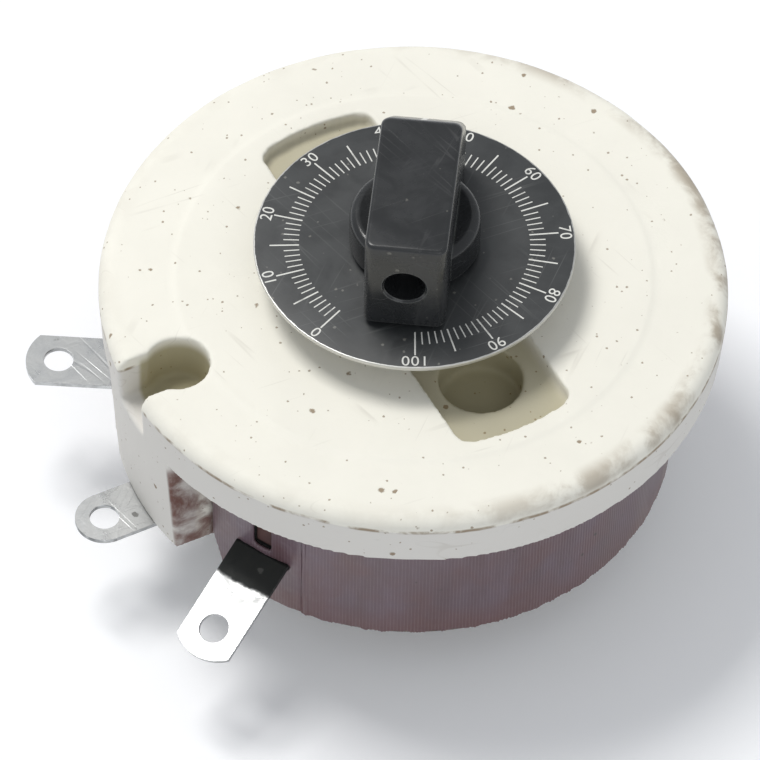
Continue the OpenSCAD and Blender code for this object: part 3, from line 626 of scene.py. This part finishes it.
def new_piece(name, mesh, slot, body, replaced=(), sharp=math.radians(38), finish=None):
    """A finished piece that rides on a body and stands for the CAD nodes it names."""
    piece = bpy.data.objects.new(name, mesh)
    bpy.context.scene.collection.objects.link(piece)
    mesh.materials.clear()
    mesh.materials.append(finish_of(finish or slot))
    for face in mesh.polygons:
        face.use_smooth = True
    mesh.set_sharp_from_angle(angle=sharp)
    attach(piece, body)
    if replaced:
        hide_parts(*replaced)
    return piece


def mesh_of(name, bm):
    """Closes a bmesh into a mesh with outward normals."""
    bmesh.ops.remove_doubles(bm, verts=bm.verts, dist=1e-7)
    bmesh.ops.recalc_face_normals(bm, faces=bm.faces)
    mesh = bpy.data.meshes.new(name)
    bm.to_mesh(mesh)
    bm.free()
    return mesh


def frame_mesh(name):
    """A welded copy of a CAD node's mesh."""
    bm = bmesh.new()
    bm.from_mesh(frame["nodes"][name].data)
    return mesh_of(name + "_copy", bm)


def scratch(mesh):
    """A working object that holds a mesh."""
    obj = bpy.data.objects.new("scratch", mesh)
    bpy.context.scene.collection.objects.link(obj)
    return obj


def modified(mesh, *steps):
    """The mesh after a list of (modifier type, settings)."""
    obj = scratch(mesh)
    others = []
    for kind, values in steps:
        mod = obj.modifiers.new(kind, kind)
        for key, value in values.items():
            if isinstance(value, bpy.types.Mesh):
                value = scratch(value)
                others.append(value)
            setattr(mod, key, value)
    bpy.context.view_layer.update()
    deps = bpy.context.evaluated_depsgraph_get()
    result = bpy.data.meshes.new_from_object(obj.evaluated_get(deps))
    for spent in (obj, *others):
        bpy.data.objects.remove(spent)
    return result


def softened(mesh, voxel, passes):
    """The mesh re-cut in small even cells and rounded, as a moulded or dipped skin is."""
    return modified(
        mesh,
        ("REMESH", {"mode": "VOXEL", "voxel_size": voxel}),
        ("SMOOTH", {"factor": 0.5, "iterations": passes}))


def roughened(mesh, height, size):
    """Pushes each point along its normal by smooth noise."""
    normals = [vertex.normal.copy() for vertex in mesh.vertices]
    for vertex, normal in zip(mesh.vertices, normals):
        wave = noise.noise(vertex.co / size) + 0.4 * noise.noise(vertex.co / size * 2.7)
        vertex.co += normal * height * wave


def revolved(section, steps=160, first=0.0, last=360.0):
    """A bmesh of a closed (radius, height) section turned round the shaft; degrees."""
    bm = bmesh.new()
    full = last - first >= 360.0
    columns = []
    for i in range(steps if full else steps + 1):
        turn = math.radians(first + (last - first) * i / steps)
        columns.append([bm.verts.new((r * math.cos(turn), r * math.sin(turn), z)) for r, z in section])
    pairs = zip(columns, columns[1:] + columns[:1]) if full else zip(columns, columns[1:])
    count = len(section)
    for here, there in pairs:
        for k in range(count):
            n = (k + 1) % count
            corners = [here[k], there[k], there[n], here[n]]
            if here[k].co == there[k].co:
                corners.remove(there[k])
            if here[n].co == there[n].co:
                corners.remove(there[n])
            if len(corners) > 2:
                bm.faces.new(corners)
    if not full:
        bm.faces.new(columns[0])
        bm.faces.new(list(reversed(columns[-1])))
    return bm


def arc(x, z, r, first, last, steps=6):
    """Points of an arc in a section; degrees."""
    angles = [math.radians(first + (last - first) * i / steps) for i in range(steps + 1)]
    return [(x + r * math.cos(a), z + r * math.sin(a)) for a in angles]


def solid_cylinder(r, low, high, steps=64):
    """A closed cylinder mesh round the shaft."""
    bm = revolved([(0, low), (r, low), (r, high), (0, high)], steps)
    return mesh_of("cylinder", bm)


# ---------------------------------------------------------------- ceramic base

class RHEO_OT_ceramic_base(bpy.types.Operator):
    """Moulded ceramic base with soft edges and a slightly uneven skin"""
    bl_idname = "rheostat.ceramic_base"
    bl_label = "Ceramic base"

    def execute(self, context):
        look = settings("ceramic")
        mesh = softened(frame_mesh("ceramic_base"), look.voxel, 4)
        roughened(mesh, look.uneven, 9 * MM)
        new_piece("moulded_base", mesh, "ceramic", STATOR, ["ceramic_base"], sharp=math.radians(70))
        return {"FINISHED"}


# ---------------------------------------------------------------- winding ring

# Half the angle of the two smooth dipped ends and the space between them, in degrees
SEAM_ANGLE = 39.6
RING_BORE_R = 33.3 * MM
TRACK_R = 35.85 * MM
RING_BEND_R = 2.6 * MM
COAT_THICK = 0.55 * MM
# How far the coat's walls lie inside the solid that it replaces
COAT_INSET = 0.05 * MM


def ridge_height(az, z, look):
    """Height of the enamel over the wire at a direction and level, in metres."""
    phase = math.radians(az) * RING_HIGH.x / look.pitch * math.tau
    lumpy = noise.noise(Vector((az * 0.35, z * 260, 3.1)))
    ridge = look.ridge * (0.5 + 0.5 * math.cos(phase)) * (0.75 + 0.5 * lumpy)
    runs = 0.10 * MM * noise.noise(Vector((az * 0.12, z * 60, 8.7)))
    edge = min(abs(az - BLOCK_AZ - SEAM_ANGLE), abs(az - BLOCK_AZ - 360 + SEAM_ANGLE))
    lumps = max(0.0, 1 - edge / 3.0) * 0.35 * MM * noise.noise(Vector((az * 1.3, z * 190, 1.7)))
    return ridge + runs + lumps


def coat_section(drip):
    """C-shaped section of the coat: up the outer wall, over the top and down to the track."""
    outer_r = RING_HIGH.x - COAT_INSET
    inner_r = RING_BORE_R + COAT_INSET
    top = RING_HIGH.z - COAT_INSET
    low = RING_LOW.z + COAT_INSET
    lip = CORE_LOW.z + 1.5 * MM + drip
    bend = RING_BEND_R
    walls = 8
    outside = [(outer_r, lip + (top - bend - lip) * i / walls) for i in range(walls)]
    outside += arc(outer_r - bend, top - bend, bend, 0, 90, 5)
    outside += [(inner_r + bend + (outer_r - inner_r - 2 * bend) * i / 3, top) for i in (2, 1)]
    outside += arc(inner_r + bend, top - bend, bend, 90, 180, 5)
    outside += [(inner_r, top - bend + (low + bend - top + bend) * i / walls) for i in range(1, walls)]
    outside += arc(inner_r + bend, low + bend, bend, 180, 268, 5)
    outside.append((TRACK_R, low))
    tight = bend - COAT_THICK
    inside = [(TRACK_R, low + COAT_THICK)]
    inside += arc(inner_r + bend, low + bend, tight, 268, 180, 4)
    inside += arc(inner_r + bend, top - bend, tight, 180, 90, 4)
    inside += arc(outer_r - bend, top - bend, tight, 90, 0, 4)
    inside.append((outer_r - COAT_THICK, lip))
    return outside, inside


def coat_mesh():
    """Ridged coat over the winding, from one band round to the other."""
    look = settings("enamel")
    bm = bmesh.new()
    first = BLOCK_AZ + SEAM_ANGLE
    last = BLOCK_AZ + 360 - SEAM_ANGLE
    columns = int(math.radians(last - first) * RING_HIGH.x / look.pitch * 4)
    previous = None
    for i in range(columns + 1):
        az = first + (last - first) * i / columns
        slow = 0.45 * MM * noise.noise(Vector((az * 0.5, 0.3, 5.5)))
        fast = 0.3 * MM * noise.noise(Vector((az * 2.1, 4, 0)))
        outside, inside = coat_section(slow + fast)
        turn = math.radians(az)
        ring = []
        for k, (r, z) in enumerate(outside):
            before, after = outside[max(k - 1, 0)], outside[min(k + 1, len(outside) - 1)]
            run = Vector((after[0] - before[0], after[1] - before[1])).normalized()
            grow = ridge_height(az, z, look) - 0.1 * MM
            r, z = r + run.y * grow, z - run.x * grow
            ring.append(bm.verts.new((r * math.cos(turn), r * math.sin(turn), z)))
        for r, z in inside:
            ring.append(bm.verts.new((r * math.cos(turn), r * math.sin(turn), z)))
        count = len(ring)
        if previous:
            for k in range(count):
                n = (k + 1) % count
                bm.faces.new((previous[k], ring[k], ring[n], previous[n]))
        else:
            bm.faces.new(ring)
        previous = ring
    bm.faces.new(list(reversed(previous)))
    return mesh_of("ridged_coat", bm)


def end_wedge():
    """A wedge over the two ends of the ring and the space between them."""
    bm = bmesh.new()
    far = BASE_R * 1.5
    corners = [(0, 0)]
    for side in (-1, 1):
        turn = math.radians(BLOCK_AZ + side * SEAM_ANGLE)
        corners.append((far * math.cos(turn), far * math.sin(turn)))
    low = [bm.verts.new((x, y, RING_LOW.z - 5 * MM)) for x, y in corners]
    high = [bm.verts.new((x, y, RING_HIGH.z + 5 * MM)) for x, y in corners]
    bm.faces.new(low)
    bm.faces.new(high)
    for k in range(3):
        n = (k + 1) % 3
        bm.faces.new((low[k], low[n], high[n], high[k]))
    return mesh_of("wedge", bm)


class RHEO_OT_winding_ring(bpy.types.Operator):
    """Enamelled winding: a ridged coat and two smooth dipped ends"""
    bl_idname = "rheostat.winding_ring"
    bl_label = "Winding ring"

    def execute(self, context):
        new_piece("ridged_coat", coat_mesh(), "enamel", STATOR, ["enamel_coat"], sharp=math.radians(75))
        ends = modified(frame_mesh("enamel_coat"),
                        ("BOOLEAN", {"operation": "INTERSECT", "solver": "EXACT", "object": end_wedge()}))
        ends = softened(ends, 0.28 * MM, 4)
        roughened(ends, 0.09 * MM, 3 * MM)
        new_piece("dipped_ends", ends, "enamel", STATOR, ["enamel_coat"], sharp=math.radians(75))
        return {"FINISHED"}


# ---------------------------------------------------------------- dial

DIAL_HOLE_R = 4.95 * MM
DIAL_EDGE_R = 0.12 * MM
TICK_START_R = 18.5 * MM
SHORT_TICK_R = 21.0 * MM
LONG_TICK_R = 23.2 * MM
FIGURE_R = 24.25 * MM
SHORT_TICK_W = 0.2 * MM
LONG_TICK_W = 0.26 * MM
# The marks stand this far over the plate and reach as far into it
INK = 0.015 * MM
# Height of a figure as a share of the font's size
FIGURE_SHARE = 0.72


def tick(bm, az, near, far, width, low, high):
    """One printed line, standing a hair over the plate."""
    turn = Matrix.Rotation(az, 4, "Z")
    flat = [(near, -width / 2), (far, -width / 2), (far, width / 2), (near, width / 2)]
    base = [bm.verts.new(turn @ Vector((x, y, low))) for x, y in flat]
    top = [bm.verts.new(turn @ Vector((x, y, high))) for x, y in flat]
    bm.faces.new(list(reversed(base)))
    bm.faces.new(top)
    for k in range(4):
        n = (k + 1) % 4
        bm.faces.new((base[k], base[n], top[n], top[k]))


def figure_mesh(text, height, thick):
    """A number as a thin flat mesh, centred on the origin."""
    curve = bpy.data.curves.new("figure", "FONT")
    curve.body = text
    curve.size = height / FIGURE_SHARE
    curve.extrude = thick / 2
    curve.align_x = "CENTER"
    curve.align_y = "CENTER"
    curve.space_character = 1.08
    obj = bpy.data.objects.new("figure", curve)
    bpy.context.scene.collection.objects.link(obj)
    bpy.context.view_layer.update()
    mesh = bpy.data.meshes.new_from_object(obj.evaluated_get(bpy.context.evaluated_depsgraph_get()))
    bpy.data.objects.remove(obj)
    return mesh


class RHEO_OT_dial(bpy.types.Operator):
    """Dial plate with a hundred divisions and plain numbers"""
    bl_idname = "rheostat.dial"
    bl_label = "Dial"

    def execute(self, context):
        look = settings("dial")
        low, top, r = DIAL_LOW.z, DIAL_TOP, DIAL_R
        soft = DIAL_EDGE_R
        section = [(DIAL_HOLE_R, low)]
        section += arc(r - soft, low + soft, soft, -90, 0, 3)
        section += arc(r - soft, top - soft, soft, 0, 90, 4)
        section += [(r * 0.7, top), (r * 0.4, top), (DIAL_HOLE_R, top)]
        plate = mesh_of("plate", revolved(section, 192))
        new_piece("dial_disc", plate, "dial_face", STATOR, ["dial_plate"], sharp=math.radians(50))
        bm = bmesh.new()
        for value in range(101):
            az = look.zero_az - look.span * value / 100
            far, width = (LONG_TICK_R, LONG_TICK_W) if value % 5 == 0 else (SHORT_TICK_R, SHORT_TICK_W)
            tick(bm, az, TICK_START_R, far, width, top - INK, top + INK)
            if value % 10 == 0:
                mesh = figure_mesh(str(value), look.figure, 2 * INK)
                turn = Matrix.Rotation(az - math.pi / 2, 4, "Z")
                mesh.transform(turn @ Matrix.Translation((0, FIGURE_R, top)))
                bm.from_mesh(mesh)
        marks = bpy.data.meshes.new("marks")
        bm.to_mesh(marks)
        bm.free()
        new_piece("dial_marks", marks, "dial_face", STATOR, finish="dial_print")
        return {"FINISHED"}


# ---------------------------------------------------------------- knob

BAR_HALF_W = 6.5 * MM
BAR_HALF_L = 17.9 * MM
BAR_CORNER_R = 1.6 * MM
# The nose slopes over this length and drops this far
NOSE_L = 8.5 * MM
NOSE_DROP = 9.2 * MM
BOSS_R = 10.5 * MM
BOSS_H = 6.5 * MM
BOSS_EDGE_R = 1.4 * MM
SCREW_HOLE_R = 3.3 * MM
# Height of the screw hole's axis over the knob's underside
SCREW_HOLE_UP = 9 * MM
SCREW_HOLE_FLARE = 0.35 * MM
# A wide recess under the knob, and above it a narrower bore for the insert
RECESS_R = 8.85 * MM
RECESS_TOP = 11.8 * MM
INSERT_BORE_R = 5.25 * MM
KNOB_ROOF = 2.7 * MM
INDEX_START = 1.2 * MM
INDEX_L = 10.2 * MM
INDEX_HALF_W = 0.45 * MM
INDEX_LIFT = 0.02 * MM


def bar_ring(front, back, half, corner, z, steps=6):
    """Points of a rounded rectangle at one height; front and back are its Y limits."""
    points = []
    centres = [(half - corner, front + corner, 270), (half - corner, back - corner, 0),
               (corner - half, back - corner, 90), (corner - half, front + corner, 180)]
    for x, y, start in centres:
        for i in range(steps + 1):
            a = math.radians(start + 90 * i / steps)
            points.append((x + corner * math.cos(a), y + corner * math.sin(a), z))
    return points


def bar_mesh(edge):
    """The knob's bar: square end at -Y, sloping nose at +Y, every edge rounded."""
    low, top = KNOB_LOW.z, KNOB_HIGH.z
    nose_z = top - NOSE_DROP
    levels = [low + 0.25 * MM * i for i in (0, 1)] + [low + 4 * MM, nose_z - 1.2 * MM, nose_z - 0.5 * MM]
    levels += [nose_z + 0.3 * MM, nose_z + 1.0 * MM, nose_z + 4 * MM, top - edge]
    levels += [top - edge + edge * math.sin(math.radians(a)) for a in (15, 30, 45, 60, 75, 90)]
    bm = bmesh.new()
    rings = []
    for z in levels:
        up = max(0.0, z - (top - edge))
        inset = edge - math.sqrt(max(0.0, edge * edge - up * up))
        inset += max(0.0, 0.25 * MM - (z - low))
        slope = max(0.0, z - nose_z) * NOSE_L / NOSE_DROP
        front = -BAR_HALF_L + inset
        back = BAR_HALF_L - slope - inset
        corner = max(BAR_CORNER_R - inset, 0.5 * MM)
        ring = bar_ring(front, back, BAR_HALF_W - inset, corner, z)
        rings.append([bm.verts.new(p) for p in ring])
    for here, there in zip(rings, rings[1:]):
        for k in range(len(here)):
            n = (k + 1) % len(here)
            bm.faces.new((here[k], here[n], there[n], there[k]))
    bm.faces.new(list(reversed(rings[0])))
    bm.faces.new(rings[-1])
    return mesh_of("bar", bm)


def boss_mesh():
    """Round boss with a rounded rim and a slightly dished top."""
    low = KNOB_LOW.z
    r, height, soft = BOSS_R, BOSS_H, BOSS_EDGE_R
    rim = arc(r - soft, low + height - soft, soft, 0, 105, 9)
    section = [(0, low), (r - 0.2 * MM, low), (r, low + 0.2 * MM)] + rim
    section += [(7.6 * MM, low + height - 0.45 * MM), (6.4 * MM, low + height - 0.65 * MM),
                (0, low + height - 0.7 * MM)]
    return mesh_of("boss", revolved(section, 128))


def screw_hole_mesh():
    """Cutter for the screw hole in the bar's end, with a small flare at its mouth."""
    r, flare, mouth = SCREW_HOLE_R, SCREW_HOLE_FLARE, BAR_HALF_L
    section = [(0, 4 * MM), (r, 4 * MM), (r, mouth - flare), (r + flare, mouth + 0.02 * MM),
               (r + flare, mouth + 2 * MM), (0, mouth + 2 * MM)]
    bm = revolved(section, 64)
    lift = Matrix.Translation((0, 0, KNOB_LOW.z + SCREW_HOLE_UP))
    bm.transform(lift @ Matrix.Rotation(math.radians(90), 4, "X"))
    return mesh_of("hole", bm)


class RHEO_OT_knob(bpy.types.Operator):
    """Glossy bar knob with its boss, screw hole and white index line"""
    bl_idname = "rheostat.knob"
    bl_label = "Knob"

    def execute(self, context):
        look = settings("knob")
        recess = solid_cylinder(RECESS_R, KNOB_LOW.z - 1 * MM, RECESS_TOP)
        bore = solid_cylinder(INSERT_BORE_R, RECESS_TOP - 1 * MM, KNOB_HIGH.z - KNOB_ROOF)
        mesh = modified(
            bar_mesh(look.edge),
            ("BOOLEAN", {"operation": "UNION", "solver": "EXACT", "object": boss_mesh()}),
            ("BOOLEAN", {"operation": "DIFFERENCE", "solver": "EXACT", "object": screw_hole_mesh()}),
            ("BOOLEAN", {"operation": "DIFFERENCE", "solver": "EXACT", "object": recess}),
            ("BOOLEAN", {"operation": "DIFFERENCE", "solver": "EXACT", "object": bore}))
        mesh.transform(Matrix.Rotation(math.radians(POINTER_TURN), 4, "Z"))
        new_piece("bar_knob", mesh, "knob_plastic", ROTOR, ["knob"], sharp=math.radians(32))

        # white line let into the sloping nose
        slope = Vector((0, NOSE_L, -NOSE_DROP)).normalized()
        start = Vector((0, BAR_HALF_L - NOSE_L, KNOB_HIGH.z)) + slope * INDEX_START
        out = Vector((0, NOSE_DROP, NOSE_L)).normalized()
        bm = bmesh.new()
        span = slope * INDEX_L
        wide = Vector((INDEX_HALF_W, 0, 0))
        lift = out * INDEX_LIFT
        flat = [start - wide, start + wide, start + wide + span, start - wide + span]
        front = [bm.verts.new(p + lift) for p in flat]
        back = [bm.verts.new(p - lift) for p in flat]
        bm.faces.new(front)
        bm.faces.new(list(reversed(back)))
        for k in range(4):
            n = (k + 1) % 4
            bm.faces.new((front[k], back[k], back[n], front[n]))
        line = mesh_of("index_line", bm)
        line.transform(Matrix.Rotation(math.radians(POINTER_TURN), 4, "Z"))
        new_piece("index_line", line, "knob_plastic", ROTOR, finish="dial_print")
        return {"FINISHED"}


# ---------------------------------------------------------------- carried-over pieces

# Widths of the bevelled edges, in millimetres
SOFT_EDGES = {
    "end_terminal_left": 0.10, "end_terminal_right": 0.10, "centre_terminal": 0.10, "terminal_rivet": 0.35,
    "contact_arm": 0.12, "stop_plate": 0.15, "arm_hub": 0.3, "rear_insulator": 0.5, "brush_holder": 0.08,
    "collector_holder": 0.08, "arm_brush": 0.12, "brush_spring": 0.05, "shaft": 0.15, "mounting_nut": 0.15,
    "dial_nut": 0.12, "shunt_rivet": 0.2,
}


class RHEO_OT_fittings(bpy.types.Operator):
    """Finishes of the metal and ceramic pieces that keep their frame shape, with soft edges"""
    bl_idname = "rheostat.fittings"
    bl_label = "Fittings"

    def execute(self, context):
        slots = {row["node"]: row["material_slot"] for row in frame["record"]["subparts"]}
        for name, node in frame["nodes"].items():
            node.data.materials.clear()
            node.data.materials.append(finish_of(slots[name]))
            if name in SOFT_EDGES:
                weld = node.modifiers.new("weld", "WELD")
                weld.merge_threshold = 0.001 * MM
                flat = node.modifiers.new("flat faces", "DECIMATE")
                flat.decimate_type = "DISSOLVE"
                flat.angle_limit = math.radians(1)
                bevel = node.modifiers.new("soft edge", "BEVEL")
                bevel.width = SOFT_EDGES[name] * MM
                bevel.segments = 2
                bevel.limit_method = "ANGLE"
                bevel.angle_limit = math.radians(35)
                even = node.modifiers.new("even shading", "WEIGHTED_NORMAL")
                even.keep_sharp = True
                even.weight = 100
        return {"FINISHED"}


# ---------------------------------------------------------------- stage

def floor_finish(t, shader):
    """Pale floor that reads white to the camera and keeps the shadow."""
    cloud = t.noise(t.place(), 4.0, 2.0)
    base = t.mix(cloud, [0.89, 0.90, 0.92], [0.91, 0.92, 0.94])
    paint(t, shader, base, 0.9)
    path = t.add("LightPath").outputs
    seen = t.math("MAXIMUM", path["Is Camera Ray"], path["Is Glossy Ray"])
    seen = t.math("MAXIMUM", seen, path["Is Transmission Ray"])
    glow = t.add("Emission", {"Color": (1, 1, 1, 1), "Strength": t.math("MULTIPLY", seen, 0.10)})
    both = t.add("AddShader", {0: shader.outputs[0], 1: glow.outputs[0]})
    out = t.tree.nodes["Material Output"]
    t.tree.links.new(both.outputs[0], out.inputs["Surface"])


def white_world():
    """Soft even light from all round; white where it is seen or mirrored."""
    world = bpy.data.worlds.new("studio")
    bpy.context.scene.world = world
    world.use_nodes = True
    t = Tree(world.node_tree)
    light = world.node_tree.nodes["Background"]
    light.inputs["Color"].default_value = (0.93, 0.96, 1.0, 1)
    light.inputs["Strength"].default_value = 0.50
    seen = t.add("Background", {"Color": (1, 1, 1, 1), "Strength": 1.0})
    path = t.add("LightPath").outputs
    ray = t.math("MAXIMUM", path["Is Camera Ray"], path["Is Transmission Ray"])
    mixed = t.add("MixShader", {0: ray, 1: light.outputs[0], 2: seen.outputs[0]})
    out = world.node_tree.nodes["World Output"]
    world.node_tree.links.new(mixed.outputs[0], out.inputs["Surface"])


def area_light(name, place, aim, size, power, tint=(1, 1, 1)):
    """A soft square lamp that points at a spot."""
    lamp = bpy.data.lights.new(name, "AREA")
    lamp.size = size
    lamp.energy = power
    lamp.color = tint
    obj = bpy.data.objects.new(name, lamp)
    obj.location = place
    obj.rotation_euler = (Vector(aim) - Vector(place)).to_track_quat("-Z", "Y").to_euler()
    bpy.context.scene.collection.objects.link(obj)
    return obj


# The lens and the camera's distance, height angle, and its small turns about its own axes
LENS_MM = 294.64
SENSOR_MM = 36.0
CAMERA_DISTANCE = 1.000996
CAMERA_RISE = 0.8714
CAMERA_TURNS = (0.0173, -0.0049, -0.0296)


def add_camera():
    """Camera with its view angle, looking down at the face from the front."""
    data = bpy.data.cameras.new("camera")
    data.lens = LENS_MM
    data.sensor_width = SENSOR_MM
    data.clip_start, data.clip_end = 0.05, 20
    camera = bpy.data.objects.new("camera", data)
    place = CAMERA_DISTANCE * Vector((0, -math.cos(CAMERA_RISE), math.sin(CAMERA_RISE)))
    ahead = -place.normalized()
    right = Vector((1, 0, 0))
    up = right.cross(ahead)
    axes = Matrix((right, up, -ahead))
    pitch, yaw, roll = CAMERA_TURNS
    turns = Matrix.Rotation(roll, 3, "Z") @ Matrix.Rotation(pitch, 3, "X") @ Matrix.Rotation(yaw, 3, "Y")
    camera.matrix_world = Matrix.Translation(place) @ (turns @ axes).transposed().to_4x4()
    bpy.context.scene.collection.objects.link(camera)
    bpy.context.scene.camera = camera


class RHEO_OT_stage(bpy.types.Operator):
    """Pale floor, soft studio light and the camera"""
    bl_idname = "rheostat.stage"
    bl_label = "Stage"

    def execute(self, context):
        scene = context.scene
        scene.view_settings.view_transform = "Standard"
        bm = bmesh.new()
        bmesh.ops.create_grid(bm, x_segments=8, y_segments=8, size=3.0)
        bm.transform(Matrix.Translation((0, 0, FLOOR_Z - 0.1 * MM)))
        mesh = bpy.data.meshes.new("floor")
        bm.to_mesh(mesh)
        bm.free()
        floor = bpy.data.objects.new("floor", mesh)
        scene.collection.objects.link(floor)
        mesh.materials.append(material("floor", floor_finish))
        white_world()
        area_light("key", (-0.34, 0.24, 0.90), (0, 0, -0.02), 0.36, 6.6, (1.0, 0.985, 0.96))
        area_light("front", (0.3, -0.8, 0.5), (0, 0, -0.02), 0.6, 1.2, (0.95, 0.97, 1.0))
        add_camera()
        return {"FINISHED"}


# ---------------------------------------------------------------- add-on

OPERATORS = (
    RHEO_OT_stage,
    RHEO_OT_fittings,
    RHEO_OT_ceramic_base,
    RHEO_OT_winding_ring,
    RHEO_OT_dial,
    RHEO_OT_knob,
)


class RHEO_PT_panel(bpy.types.Panel):
    """Lists the pieces and their settings"""
    bl_idname = "RHEO_PT_panel"
    bl_label = "Rheostat"
    bl_space_type = "VIEW_3D"
    bl_region_type = "UI"
    bl_category = "Rheostat"

    def draw(self, context):
        for operator in OPERATORS:
            self.layout.operator(operator.bl_idname)
        for name, kind in SETTINGS.items():
            box = self.layout.box()
            box.label(text=name.title())
            for key in kind.__annotations__:
                box.prop(settings(name), key)


def register():
    """Registers the settings, operators and panel."""
    for name, kind in SETTINGS.items():
        bpy.utils.register_class(kind)
        setattr(bpy.types.Scene, "rheostat_" + name, bpy.props.PointerProperty(type=kind))
    for cls in (*OPERATORS, RHEO_PT_panel):
        bpy.utils.register_class(cls)


def unregister():
    """Takes the add-on away again."""
    for cls in (RHEO_PT_panel, *reversed(OPERATORS)):
        bpy.utils.unregister_class(cls)
    for name, kind in SETTINGS.items():
        delattr(bpy.types.Scene, "rheostat_" + name)
        bpy.utils.unregister_class(kind)


def main():
    """Makes every piece in order."""
    register()
    for operator in OPERATORS:
        family, action = operator.bl_idname.split(".")
        getattr(getattr(bpy.ops, family), action)()


if __name__ == "__main__":
    main()
